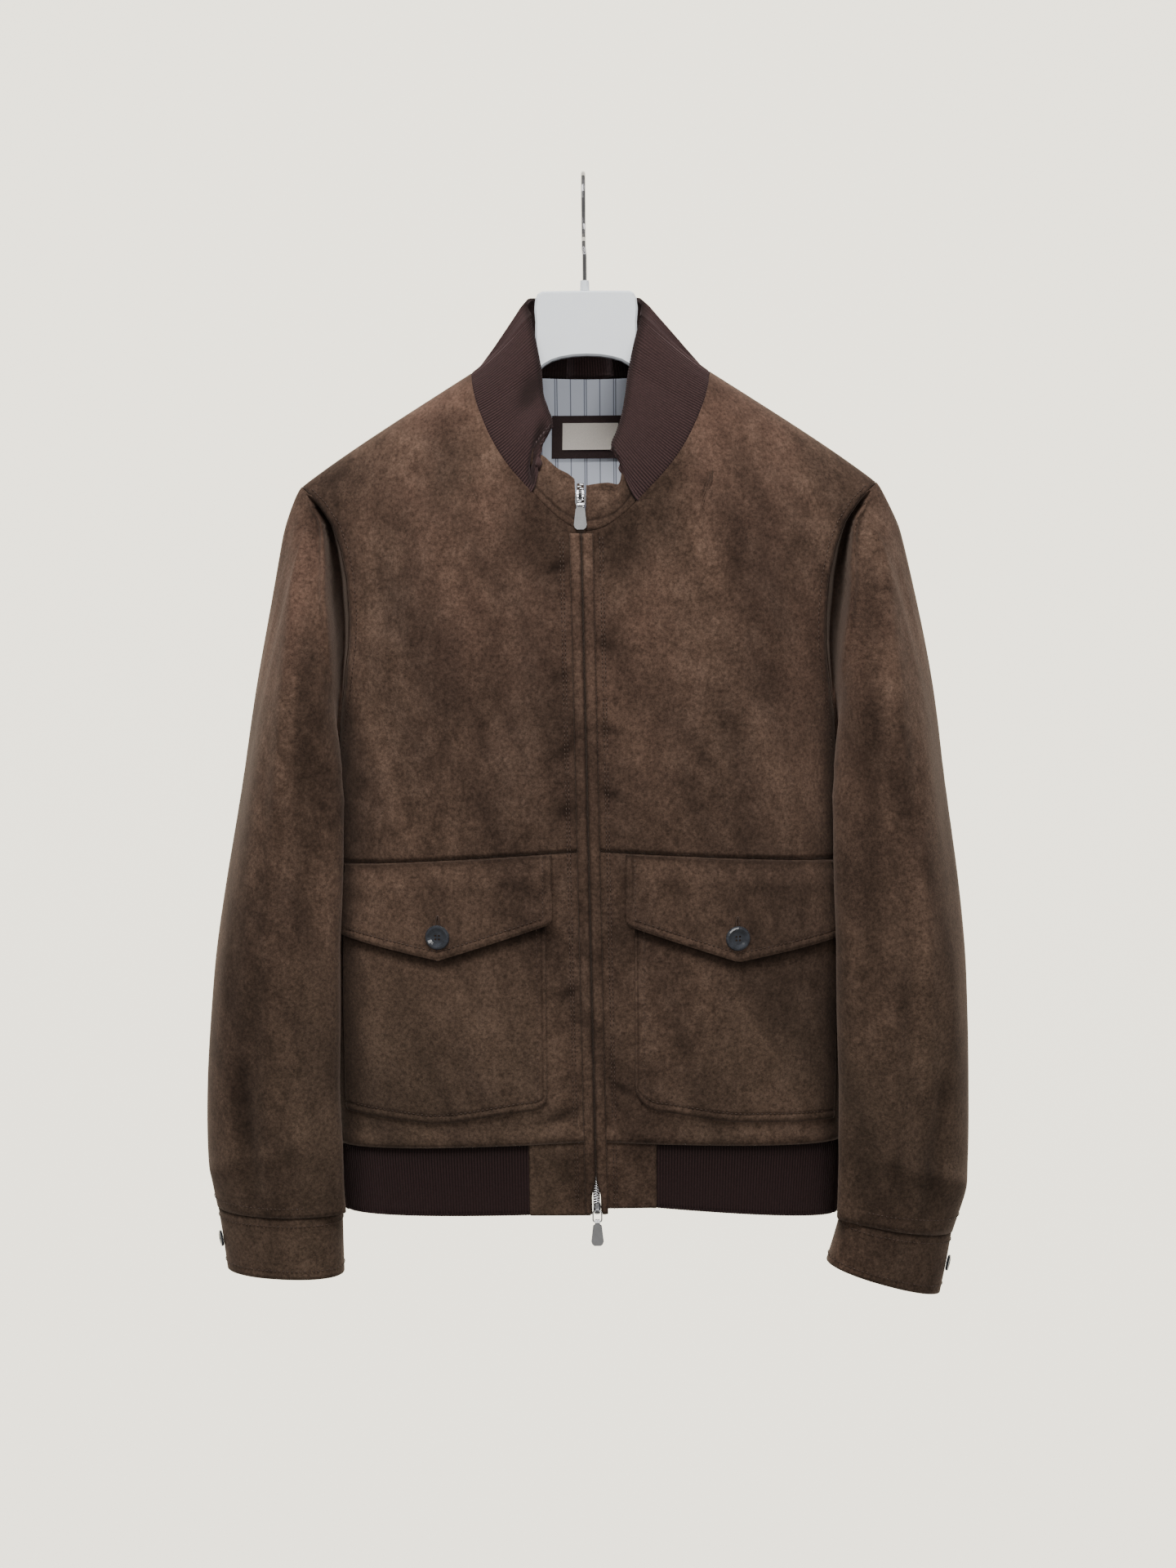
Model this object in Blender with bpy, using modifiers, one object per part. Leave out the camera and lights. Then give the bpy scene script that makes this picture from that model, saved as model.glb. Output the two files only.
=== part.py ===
# Stand collar jacket, zipped, hanging on a plate hanger with a wire hook.
# Metres, +Z up, the front faces -Y. The origin is the hook's inner top, where a rod bears.
# Cloth pieces are walls on one body surface: y is worked out from x, z and the face (-1 front, 1 back).
import bpy
import bmesh
from collections import namedtuple
from math import cos, exp, pi, radians, sin, sqrt
from mathutils import Matrix, Vector

# ---- driving sizes ----
FRONT = -1
BACK = 1
RIGHT = -1                    # the wearer's right lies at -X
LEFT = 1

SUEDE = 0.0016                # wall thicknesses
RIB = 0.0024
LINING = 0.0010
SEAM = 0.00016                # half the gap between sewn pieces
EDGE_GAP = 0.00045            # half the gap where front and back walls meet edge to edge
LAYER = 0.00035               # gap between a panel and what lies on it

SHOULDER_Z = -0.1600          # shoulder seam at the neck
SHOULDER_SLOPE = 0.625
SHOULDER_DROP = 0.0045        # extra fall at the sleeve end
NECK_X = 0.099
SHOULDER_X = 0.239
SHOULDER_ROLL = 0.22          # how far below the seam the cloth reaches its full depth
MIDDLE_ROUND = 0.060
UNDERARM_Z = -0.4805
SIDE_POWER = 2.5              # squareness of the body's cross-section
WAIST_Z = -0.5510
SWAY = 0.020                  # the shoulders sit a little to the wearer's left
SWAY_Z = -0.40
ZIP_SLANT = 0.0149
ZIP_ZERO_Z = -0.555
ZIP_HALF = 0.0034             # half the opening in which the chain lies

Torso = namedtuple("Torso", "z half_width front back")
TORSO = (
    Torso(-0.8700, 0.2110, 0.0570, 0.0480),
    Torso(-0.8300, 0.2135, 0.0630, 0.0520),
    Torso(-0.7950, 0.2155, 0.0690, 0.0560),
    Torso(-0.7400, 0.2168, 0.0735, 0.0580),
    Torso(-0.6500, 0.2165, 0.0775, 0.0600),
    Torso(-0.5600, 0.2125, 0.0795, 0.0610),
    Torso(-0.4805, 0.2100, 0.0790, 0.0620),
    Torso(-0.4200, 0.2105, 0.0780, 0.0620),
    Torso(-0.3600, 0.2180, 0.0765, 0.0620),
    Torso(-0.3000, 0.2350, 0.0745, 0.0620),
    Torso(-0.2525, 0.2620, 0.0735, 0.0620),
    Torso(-0.1000, 0.2620, 0.0735, 0.0620),
)

Armhole = namedtuple("Armhole", "z x")
ARMHOLE = (
    Armhole(-0.4805, 0.2100),
    Armhole(-0.4500, 0.2070),
    Armhole(-0.4200, 0.2015),
    Armhole(-0.3850, 0.1965),
    Armhole(-0.3600, 0.1958),
    Armhole(-0.3300, 0.1980),
    Armhole(-0.3050, 0.2035),
    Armhole(-0.2850, 0.2110),
    Armhole(-0.2660, 0.2240),
    Armhole(-0.2525, 0.2390),
)

Neck = namedtuple("Neck", "x front_z back_z")
NECK = (
    Neck(0.0000, -0.2925, -0.1590),
    Neck(0.0120, -0.2895, -0.1590),
    Neck(0.0280, -0.2785, -0.1585),
    Neck(0.0440, -0.2625, -0.1580),
    Neck(0.0650, -0.2395, -0.1575),
    Neck(0.0800, -0.2165, -0.1575),
    Neck(0.0920, -0.1895, -0.1582),
    Neck(0.0970, -0.1720, -0.1592),
    Neck(0.0990, -0.1600, -0.1600),
)

# soft folds of the hanging cloth: a ridge from one point to another, on one face
Fold = namedtuple("Fold", "face x_top z_top x_low z_low width height")
FOLDS = (
    Fold(FRONT, -0.150, -0.235, -0.100, -0.420, 0.024, 0.0030),
    Fold(FRONT, -0.060, -0.290, -0.072, -0.480, 0.020, -0.0022),
    Fold(FRONT, 0.075, -0.285, 0.060, -0.470, 0.022, -0.0024),
    Fold(FRONT, 0.160, -0.250, 0.118, -0.430, 0.024, 0.0028),
    Fold(FRONT, -0.150, -0.430, -0.135, -0.540, 0.026, -0.0022),
    Fold(FRONT, 0.152, -0.420, 0.140, -0.545, 0.028, -0.0020),
    Fold(BACK, -0.095, -0.330, -0.110, -0.700, 0.032, 0.0050),
    Fold(BACK, 0.020, -0.300, 0.028, -0.640, 0.036, -0.0040),
    Fold(BACK, 0.118, -0.350, 0.100, -0.740, 0.030, 0.0045),
)

# distances down a panel, as shares of its height above the underarm
DROP_SHARES = (0.0, 0.008, 0.04, 0.107, 0.213, 0.36, 0.52, 0.68, 0.84, 1.0)
# columns beyond the neck, as shares of the way from the neck to the panel's outer edge
SHOULDER_SHARES = (0.18, 0.38, 0.58, 0.76, 0.89, 0.965, 1.0)

jacket = None                 # the collection that holds the parts


# ---- small helpers ----
def blend(low, high, share):
    return low + (high - low) * share


def clamp(value, low=0.0, high=1.0):
    return max(low, min(high, value))


def ease(value):
    value = clamp(value)
    return value * value * (3 - 2 * value)


def row_at(table, key):
    """The table's row at a key, on a smooth curve through its rows, which rise by their first column."""
    if key <= table[0][0]:
        return table[0]
    if key >= table[-1][0]:
        return table[-1]
    place = next(n for n in range(len(table) - 1) if key <= table[n + 1][0])
    low, high = table[place], table[place + 1]
    before, after = table[max(place - 1, 0)], table[min(place + 2, len(table) - 1)]
    span = high[0] - low[0]
    t = (key - low[0]) / span
    values = [key]
    for first, start, end, last in zip(before[1:], low[1:], high[1:], after[1:]):
        lead = (end - first) / (high[0] - before[0]) * span
        trail = (last - start) / (after[0] - low[0]) * span
        values.append((2 * t ** 3 - 3 * t * t + 1) * start + (t ** 3 - 2 * t * t + t) * lead
                      + (3 * t * t - 2 * t ** 3) * end + (t ** 3 - t * t) * trail)
    return type(low)(*values)


def straight_row(table, key):
    """The same on straight lines between rows."""
    if key <= table[0][0]:
        return table[0]
    if key >= table[-1][0]:
        return table[-1]
    place = next(n for n in range(len(table) - 1) if key <= table[n + 1][0])
    low, high = table[place], table[place + 1]
    t = (key - low[0]) / (high[0] - low[0])
    return type(low)(*(blend(start, end, t) for start, end in zip(low, high)))


# ---- materials and objects ----
def material(name, colour, roughness, metallic=0.0):
    found = bpy.data.materials.get(name)
    if found:
        return found
    made = bpy.data.materials.new(name)
    made.use_nodes = True
    shader = made.node_tree.nodes["Principled BSDF"]
    shader.inputs["Base Color"].default_value = (*colour, 1.0)
    shader.inputs["Roughness"].default_value = roughness
    shader.inputs["Metallic"].default_value = metallic
    return made


def suede():
    return material("suede", (0.090, 0.054, 0.036), 0.95)


def rib_knit():
    return material("rib_knit", (0.056, 0.031, 0.030), 0.9)


def chrome():
    return material("chrome", (0.75, 0.76, 0.78), 0.18, 1.0)


def add_object(name, mesh, finish):
    made = bpy.data.objects.new(name, mesh)
    made.data.materials.append(finish)
    jacket.objects.link(made)
    return made


def mesh_from(name, shape):
    mesh = bpy.data.meshes.new(name)
    shape.to_mesh(mesh)
    shape.free()
    return mesh


def smooth_mesh(mesh, angle=40):
    mesh.shade_smooth()
    mesh.set_sharp_from_angle(angle=radians(angle))


def wall(name, surface, columns, rows, thickness, finish, axis_x=0.0, joined=False):
    """A cloth wall: a grid laid on surface(column, row), thickened towards the hollow round axis_x."""
    across, down = len(columns) - 1, len(rows) - 1
    shape = bmesh.new()
    bmesh.ops.create_grid(shape, x_segments=across, y_segments=down, size=1)
    for vert in shape.verts:
        column = columns[round((vert.co.x + 1) / 2 * across)]
        row = rows[round((vert.co.y + 1) / 2 * down)]
        vert.co = surface(column, row)
    if joined:
        bmesh.ops.remove_doubles(shape, verts=shape.verts, dist=1e-6)
    shape.normal_update()
    outward = 0.0
    for face in shape.faces:
        centre = face.calc_center_median()
        outward += face.normal.dot(Vector((centre.x - axis_x, centre.y, 0))) * face.calc_area()
    if outward < 0:
        bmesh.ops.reverse_faces(shape, faces=shape.faces)
    mesh = mesh_from(name, shape)
    smooth_mesh(mesh, 60)
    made = add_object(name, mesh, finish)
    shell = made.modifiers.new("thickness", "SOLIDIFY")
    shell.thickness = thickness
    shell.offset = -1
    return made


# ---- the body surface ----
def shoulder_z(x):
    along = max(x - NECK_X, 0) / (SHOULDER_X - NECK_X)
    return SHOULDER_Z - SHOULDER_SLOPE * (x - NECK_X) - SHOULDER_DROP * along ** 4


def softened(x):
    """The distance from the middle, rounded off there so that the surface has no ridge."""
    reach = abs(x)
    return reach if reach > MIDDLE_ROUND else (reach * reach / MIDDLE_ROUND + MIDDLE_ROUND) / 2


def sway(z):
    return SWAY * max(z - SWAY_Z, 0)


def zip_x(z):
    return ZIP_SLANT * (ZIP_ZERO_Z - z) - sway(z)


def fold_height(face, x, z):
    height = 0.0
    for fold in FOLDS:
        if fold.face != face:
            continue
        share = clamp((fold.z_top - z) / (fold.z_top - fold.z_low), -0.25, 1.25)
        ridge_x = blend(fold.x_top, fold.x_low, share)
        fade = ease((share + 0.25) / 0.35) * ease((1.25 - share) / 0.35)
        height += fold.height * fade * exp(-((x - ridge_x) / fold.width) ** 2)
    return height


def body(x, z, face, out=0.0):
    """A point of the body surface, moved out along its normal."""
    girth = row_at(TORSO, z)
    reach = clamp(abs(x) / girth.half_width)
    rise = clamp((shoulder_z(softened(x)) - z) / SHOULDER_ROLL)
    depth = girth.front if face == FRONT else girth.back
    rolled = sqrt(1 - (1 - rise) ** 2)
    edge = (1 - reach ** SIDE_POWER) ** (1 / SIDE_POWER)
    y = face * (depth * edge * rolled + fold_height(face, x, z) * edge * rolled)
    if abs(y) < EDGE_GAP:
        y = face * EDGE_GAP
    point = Vector((x + sway(z), y, z))
    if out:
        point += body_normal(x, z, face) * out
    return point


def body_normal(x, z, face):
    step = 0.0002
    inner = x - step if x > 0 else x + step
    here = body(x, z, face)
    across = (here - body(inner, z, face)) * (1 if x > 0 else -1)
    down = body(x, z - step, face) - here
    normal = across.cross(down)
    if normal.y * face < 0:
        normal.negate()
    if abs(normal.y) < 1e-12:
        normal = Vector((1 if x > 0 else -1, 0, 0))
    return normal.normalized()


def edge_x(z):
    """Half-width of the panels: the armhole seam down to the underarm, the side seam below it."""
    if z < UNDERARM_Z:
        return row_at(TORSO, z).half_width
    return straight_row(ARMHOLE, z).x


def top_z(reach, face):
    """Top edge of a panel at a distance from the middle: the neck seam, then the shoulder seam."""
    if reach >= NECK_X:
        return shoulder_z(reach)
    neck = row_at(NECK, max(reach, 0))
    return neck.front_z if face == FRONT else neck.back_z


def waist_z(reach):
    return WAIST_Z - 0.065 * reach


def rib_seam_z(reach, face):
    return -0.8045 if face == BACK else -0.7940 - 0.0505 * reach


# ---- columns of the panels ----
NECK_STATIONS = (0.0160, 0.0280, 0.0385, 0.0460, 0.0560, 0.0680, 0.0800, 0.0900, 0.0950, 0.0980, 0.0990)
BACK_STATIONS = (0.0000, 0.0200, 0.0400, 0.0620, 0.0800, 0.0900, 0.0960, 0.0990)


def inner_x(side, z):
    return side * zip_x(z) + ZIP_HALF


def front_columns(side):
    """Shares of the way from the zip to the outer edge, through the neck's stations."""
    shares = [0.0]
    for station in NECK_STATIONS:
        z = top_z(station, FRONT)
        inner = inner_x(side, z)
        shares.append((station - inner) / (edge_x(z) - inner))
    neck_share = shares[-1]
    shares += [blend(neck_share, 1.0, share) for share in SHOULDER_SHARES]
    return shares


def back_columns():
    shares = [station / SHOULDER_X for station in BACK_STATIONS]
    shares += [blend(shares[-1], 1.0, share) for share in SHOULDER_SHARES]
    return [-share for share in reversed(shares[1:])] + shares


def panel_point(side, face, share, row, bottom_z):
    """A panel's point: row counts DROP_SHARES first, then steps on to the bottom edge."""
    last = len(DROP_SHARES) - 1
    z = top = UNDERARM_Z
    for _ in range(4):
        inner = inner_x(side, z) if face == FRONT else 0.0
        reach = blend(inner, edge_x(z), share)
        top = top_z(reach, face) - SEAM
        if row <= last:
            z = blend(top, UNDERARM_Z, DROP_SHARES[min(int(row), last)])
        else:
            z = blend(UNDERARM_Z, bottom_z(reach) + SEAM, row - last)
    inner = inner_x(side, z) if face == FRONT else 0.0
    return body(side * blend(inner, edge_x(z), share), z, face)


def build_upper_fronts():
    last = len(DROP_SHARES) - 1
    rows = list(range(last + 1)) + [last + share for share in (0.5, 1.0)]
    for side, name in ((RIGHT, "front_upper_right"), (LEFT, "front_upper_left")):
        wall(name, lambda share, row, side=side: panel_point(side, FRONT, share, row, waist_z),
             front_columns(side), rows, SUEDE, suede())


def build_back():
    last = len(DROP_SHARES) - 1
    rows = list(range(last + 1)) + [last + share for share in (0.25, 0.5, 0.75, 1.0)]

    def surface(share, row):
        side = LEFT if share >= 0 else RIGHT
        return panel_point(side, BACK, abs(share), row, lambda reach: rib_seam_z(reach, BACK))

    wall("back", surface, back_columns(), rows, SUEDE, suede())


LOWER_SHARES = (0.0, 0.13, 0.20, 0.30, 0.42, 0.54, 0.66, 0.77, 0.86, 0.93, 0.975, 1.0)


def build_lower_fronts():
    for side, name in ((RIGHT, "front_lower_right"), (LEFT, "front_lower_left")):
        def surface(share, row, side=side):
            z = waist_z(0.1)
            for _ in range(3):
                reach = blend(inner_x(side, z), edge_x(z), share)
                z = blend(waist_z(reach) - SEAM, rib_seam_z(reach, FRONT) + SEAM, row)
            return body(side * blend(inner_x(side, z), edge_x(z), share), z, FRONT)

        wall(name, surface, LOWER_SHARES, [n / 6 for n in range(7)], SUEDE, suede())


# ---- zip guards and chain ----
GUARD_WIDTH = 0.0095
GUARD_WALL = 0.0012
GUARD_TOP_Z = -0.2945
GUARD_LOW_Z = -0.8570
GUARD_OPEN_Z = -0.8250        # below it the two guards part round the lower slider
GUARD_OPEN = 0.0034
CHAIN_HALF = 0.0028
CHAIN_WALL = 0.0018
CHAIN_LOW_Z = -0.8565


def guard_edge(side, z):
    parted = GUARD_OPEN * ease((GUARD_OPEN_Z - z) / 0.018)
    return side * zip_x(z) + SEAM + parted


def build_guards():
    steps = 20
    for side, name in ((RIGHT, "zip_guard_right"), (LEFT, "zip_guard_left")):
        def surface(share, row, side=side):
            z = blend(GUARD_TOP_Z, GUARD_LOW_Z, row)
            outer = side * zip_x(z) + GUARD_WIDTH
            return body(side * blend(guard_edge(side, z), outer, share), z, FRONT, LAYER + GUARD_WALL)

        wall(name, surface, (0.0, 1.0), [n / steps for n in range(steps + 1)], GUARD_WALL, suede())


# ---- collar ----
# the band runs from the neck seam to its top edge; base_x counts outwards from the middle
Band = namedtuple("Band", "base_x x y z")
BAND_FRONT = {
    RIGHT: (
        Band(0.0080, -0.0079, -0.0580, -0.2519),
        Band(0.0160, -0.0145, -0.0575, -0.2462),
        Band(0.0260, -0.0231, -0.0560, -0.2415),
        Band(0.0360, -0.0330, -0.0530, -0.2324),
        Band(0.0460, -0.0409, -0.0480, -0.2255),
        Band(0.0530, -0.0345, -0.0455, -0.2160),
        Band(0.0600, -0.0262, -0.0420, -0.2049),
        Band(0.0700, -0.0295, -0.0370, -0.1919),
        Band(0.0800, -0.0335, -0.0310, -0.1790),
        Band(0.0900, -0.0350, -0.0225, -0.1590),
        Band(0.0960, -0.0395, -0.0155, -0.1360),
        Band(0.0990, -0.0450, -0.0050, -0.1120),
    ),
    LEFT: (
        Band(-0.0030, 0.0000, -0.0580, -0.2558),
        Band(0.0100, 0.0171, -0.0585, -0.2538),
        Band(0.0200, 0.0264, -0.0580, -0.2550),
        Band(0.0290, 0.0295, -0.0572, -0.2492),
        Band(0.0385, 0.0286, -0.0510, -0.2366),
        Band(0.0460, 0.0205, -0.0470, -0.2240),
        Band(0.0560, 0.0250, -0.0430, -0.2105),
        Band(0.0680, 0.0292, -0.0380, -0.1975),
        Band(0.0800, 0.0326, -0.0310, -0.1800),
        Band(0.0900, 0.0356, -0.0225, -0.1596),
        Band(0.0960, 0.0405, -0.0155, -0.1370),
        Band(0.0990, 0.0476, -0.0050, -0.1125),
    ),
}
BAND_BACK = (
    Band(0.0000, 0.0000, 0.0380, -0.0970),
    Band(0.0200, 0.0140, 0.0370, -0.0965),
    Band(0.0400, 0.0270, 0.0340, -0.0960),
    Band(0.0620, 0.0385, 0.0260, -0.0960),
    Band(0.0800, 0.0455, 0.0180, -0.0965),
    Band(0.0900, 0.0480, 0.0110, -0.0980),
    Band(0.0960, 0.0488, 0.0050, -0.1020),
    Band(0.0990, 0.0470, -0.0050, -0.1120),
)
BAND_ROWS = (0.0, 0.05, 0.22, 0.45, 0.72, 1.0)
TAB_END = {RIGHT: 0.0460, LEFT: 0.0385}
TAB_GAP = 0.0018
BAND_GAP = 0.0005
BAND_LEAD = 0.30              # how long the band keeps the panel's direction above the seam


def neck_base(side, face, station):
    """Point of the neck seam, and the direction in which the panel would run on past it."""
    step = 0.0006
    z = top_z(station, face)
    here = body(side * station, z, face)
    low = body(side * (station - step), top_z(station - step, face), face)
    high = body(side * min(station + step, NECK_X), top_z(min(station + step, NECK_X), face), face)
    seam = (high - low).normalized()
    if station > NECK_X - 0.0005:
        seam = Vector((0, face, 0))
        normal = Vector((side * SHOULDER_SLOPE, 0, 1)).normalized()
    else:
        normal = body_normal(side * station, z, face)
    onward = normal.cross(seam).normalized()
    if onward.z < 0:
        onward.negate()
    if face == FRONT:
        onward.x *= ease(station / 0.040)
    return here, onward.normalized()


def band_point(side, face, station, row, gap=BAND_GAP):
    table = BAND_FRONT[side] if face == FRONT else BAND_BACK
    edge = row_at(table, station)
    top = Vector((edge.x if face == FRONT else side * edge.x, edge.y, edge.z))
    seam_point, onward = neck_base(side, face, station)
    base = seam_point + onward * gap
    lead = base + onward * (top - base).length * BAND_LEAD
    return base * (1 - row) ** 2 + lead * (2 * row * (1 - row)) + top * row ** 2


def build_collar():
    stations = []
    for side in (RIGHT, LEFT):
        half = [(side, FRONT, station) for station in NECK_STATIONS if station >= TAB_END[side]]
        half += [(side, BACK, station) for station in reversed(BACK_STATIONS[1:-1])]
        stations += half if side == RIGHT else [(LEFT, BACK, 0.0)] + half[::-1]
    wall("collar_rib", lambda station, row: band_point(*station, row), stations, BAND_ROWS,
         RIB, rib_knit())
    for side, name in ((RIGHT, "collar_tab_right"), (LEFT, "collar_tab_left")):
        inner = inner_x(side, top_z(0.0, FRONT))
        columns = [inner] + [station for station in NECK_STATIONS if station <= TAB_END[side]]
        columns[-1] -= TAB_GAP

        def surface(station, row, side=side):
            return band_point(side, FRONT, station, row)

        wall(name, surface, columns, BAND_ROWS, RIB, suede())


def chain_point(share, row):
    """Row 0 to 1 runs up the fronts, 1 to 2 on up between the collar tabs."""
    if row <= 1:
        z = blend(CHAIN_LOW_Z, GUARD_TOP_Z - 0.001, row)
        middle = body(zip_x(z), z, FRONT, -0.0002)
    else:
        inner = [band_point(side, FRONT, inner_x(side, top_z(0.0, FRONT)), (row - 1) * 0.99)
                 for side in (RIGHT, LEFT)]
        middle = (inner[0] + inner[1]) / 2 + Vector((0, 0.0004, 0))
    return middle + Vector((CHAIN_HALF * share, 0, 0))


def build_chain():
    rows = [n / 14 for n in range(15)] + [1.12, 1.4, 1.7, 2.0]
    wall("zip_chain", chain_point, (-1.0, 1.0), rows, CHAIN_WALL, chrome())


# ---- sleeves and cuffs: rings of the hanging sleeve, in world places ----
# a ring's inner edge lies in front of its middle, its outer edge behind, because the sleeve
# hangs forward, over the edge of the body's front
Ring = namedtuple("Ring", "level inner outer z_inner z_outer half_depth mid_y power")
SLEEVE = {
    RIGHT: (
        Ring(0.00, 0.2150, 0.2905, -0.5010, -0.5000, 0.0700, -0.0050, 1.85),
        Ring(0.16, 0.2095, 0.3015, -0.5600, -0.5600, 0.0635, -0.0200, 1.90),
        Ring(0.35, 0.2086, 0.3115, -0.6300, -0.6300, 0.0570, -0.0340, 1.95),
        Ring(0.52, 0.2089, 0.3180, -0.6900, -0.6900, 0.0510, -0.0350, 2.00),
        Ring(0.69, 0.2103, 0.3225, -0.7500, -0.7500, 0.0475, -0.0355, 2.05),
        Ring(0.85, 0.2103, 0.3235, -0.8080, -0.8080, 0.0440, -0.0355, 2.10),
        Ring(0.94, 0.2100, 0.3205, -0.8350, -0.8350, 0.0420, -0.0355, 2.10),
        Ring(1.00, 0.2090, 0.3170, -0.8543, -0.8557, 0.0385, -0.0350, 2.10),
    ),
    LEFT: (
        Ring(0.00, 0.2150, 0.2995, -0.5010, -0.5000, 0.0700, -0.0050, 1.85),
        Ring(0.16, 0.2090, 0.3080, -0.5600, -0.5600, 0.0635, -0.0230, 1.90),
        Ring(0.35, 0.2062, 0.3135, -0.6300, -0.6330, 0.0570, -0.0400, 1.95),
        Ring(0.52, 0.2064, 0.3165, -0.6900, -0.6950, 0.0510, -0.0410, 2.00),
        Ring(0.69, 0.2080, 0.3180, -0.7500, -0.7570, 0.0475, -0.0400, 2.05),
        Ring(0.85, 0.2098, 0.3180, -0.8050, -0.8180, 0.0440, -0.0395, 2.10),
        Ring(0.94, 0.2095, 0.3155, -0.8350, -0.8490, 0.0420, -0.0390, 2.10),
        Ring(1.00, 0.2090, 0.3060, -0.8605, -0.8815, 0.0385, -0.0380, 2.10),
    ),
}
CUFF = {
    RIGHT: (
        Ring(0.0, 0.2085, 0.3162, -0.8549, -0.8563, 0.0375, -0.0350, 2.15),
        Ring(0.5, 0.2083, 0.3125, -0.8815, -0.8829, 0.0355, -0.0350, 2.20),
        Ring(1.0, 0.2080, 0.3095, -0.9081, -0.9095, 0.0335, -0.0345, 2.20),
    ),
    LEFT: (
        Ring(0.0, 0.2085, 0.3050, -0.8611, -0.8821, 0.0375, -0.0380, 2.15),
        Ring(0.5, 0.2030, 0.3005, -0.8810, -0.9085, 0.0355, -0.0380, 2.20),
        Ring(1.0, 0.1970, 0.2955, -0.9010, -0.9350, 0.0335, -0.0375, 2.20),
    ),
}
SLEEVE_TWIST = 0.0120
SLEEVE_ANGLES = (0, 9, 22, 40, 60, 82, 104, 128, 154, 180)
CAP_SHARES = (0.0, 0.018, 0.10, 0.26, 0.48, 0.74)
CAP_SIDE = {RIGHT: 0.006, LEFT: 0.011}    # how far the sleeve head stands out sideways
CAP_DEPTH = 0.020                         # and towards the front and back
CAP_LEAD = 0.08               # the cloth leaves the seam in the panel's direction
ARMHOLE_GAP = 0.0004

# the sleeve's largest creases: along a line of angle and level, wide and high as given
Crease = namedtuple("Crease", "side angle_top angle_low level_top level_low width height")
CREASES = (
    Crease(RIGHT, 62, 50, -0.30, 0.55, 17, 0.0030),
    Crease(RIGHT, 96, 84, 0.10, 0.80, 15, -0.0035),
    Crease(RIGHT, 300, 320, 0.00, 0.70, 22, 0.0035),
    Crease(RIGHT, 20, 120, 0.90, 0.80, 16, 0.0025),
    Crease(LEFT, 66, 50, -0.30, 0.60, 16, 0.0032),
    Crease(LEFT, 100, 80, 0.05, 0.75, 16, -0.0035),
    Crease(LEFT, 295, 320, 0.00, 0.75, 22, 0.0035),
    Crease(LEFT, 120, 20, 0.84, 0.92, 16, 0.0028),
)


def ring_point(ring, side, angle, out=0.0):
    turn = radians(angle)
    power = 2 / ring.power
    across = (1 if cos(turn) >= 0 else -1) * abs(cos(turn)) ** power
    depth = (1 if sin(turn) >= 0 else -1) * abs(sin(turn)) ** power
    share = (1 + across) / 2
    x = blend(ring.inner, ring.outer, share) + out * across
    y = ring.mid_y + SLEEVE_TWIST * across - (ring.half_depth + out) * depth
    return Vector((side * x, y, blend(ring.z_inner, ring.z_outer, share)))


def armhole_point(side, index):
    """Seam point number index, 0 at the shoulder, then down the front (positive) or back, and onward."""
    face = FRONT if index >= 0 else BACK
    place = abs(index)
    z = panel_point(side, face, 1.0, place, waist_z).z
    x = edge_x(z)
    here = body(side * x, z, face)
    if place in (0, len(DROP_SHARES) - 1):
        here.y = 0.0
        onward = Vector((side, 0, -SHOULDER_SLOPE)) if place == 0 else Vector((side * 0.60, 0, -1))
        return here, onward.normalized()
    step = 0.0015
    high, low = min(z + step, shoulder_z(SHOULDER_X)), max(z - step, UNDERARM_Z)
    seam = (body(side * edge_x(low), low, face) - body(side * edge_x(high), high, face)).normalized()
    onward = body_normal(side * x, z, face).cross(seam).normalized()
    if onward.x * side < 0:
        onward.negate()
    return here, onward


def crease_height(side, angle, level):
    height = 0.0
    for crease in CREASES:
        if crease.side != side:
            continue
        share = (level - crease.level_top) / (crease.level_low - crease.level_top)
        if crease.level_low - crease.level_top > 0.2:
            centre = blend(crease.angle_top, crease.angle_low, clamp(share))
            away = (angle - centre) / crease.width
            fade = ease((share + 0.2) / 0.4) * ease((1.2 - share) / 0.4)
        else:
            share = (angle - crease.angle_top) / (crease.angle_low - crease.angle_top)
            centre = blend(crease.level_top, crease.level_low, clamp(share))
            away = (level - centre) / (crease.width * 0.002)
            fade = ease((share + 0.2) / 0.4) * ease((1.2 - share) / 0.4)
        height += crease.height * fade * exp(-away * away)
    return height


def sleeve_point(side, index, level):
    """Level -1 to 0 runs from the armhole to the first level ring, 0 to 1 down to the cuff."""
    angle = SLEEVE_ANGLES[abs(index)]
    angle = angle if index >= 0 else 360 - angle
    lift = crease_height(side, angle, level)
    if level >= 0:
        return ring_point(row_at(SLEEVE[side], level), side, angle, lift)
    share = level + 1
    seam_point, onward = armhole_point(side, index)
    turn = radians(angle)
    first = ring_point(SLEEVE[side][0], side, angle)
    swell = sin(pi * share) ** 0.8
    start = seam_point + onward * (ARMHOLE_GAP + 0.12 * share * (1 - share) ** 6)
    onto_ring = share * share * (1 + CAP_LEAD) / (share + CAP_LEAD)
    full = Vector((side * CAP_SIDE[side] * max(cos(turn), 0), -CAP_DEPTH * sin(turn), 0)) * swell
    return start.lerp(first, onto_ring) + full * ease(share / 0.2) + Vector((side, 0, 0)) * lift * share


def ring_indices():
    last = len(SLEEVE_ANGLES) - 1
    return list(range(last + 1)) + list(range(-last + 1, 0)) + [0]


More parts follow.
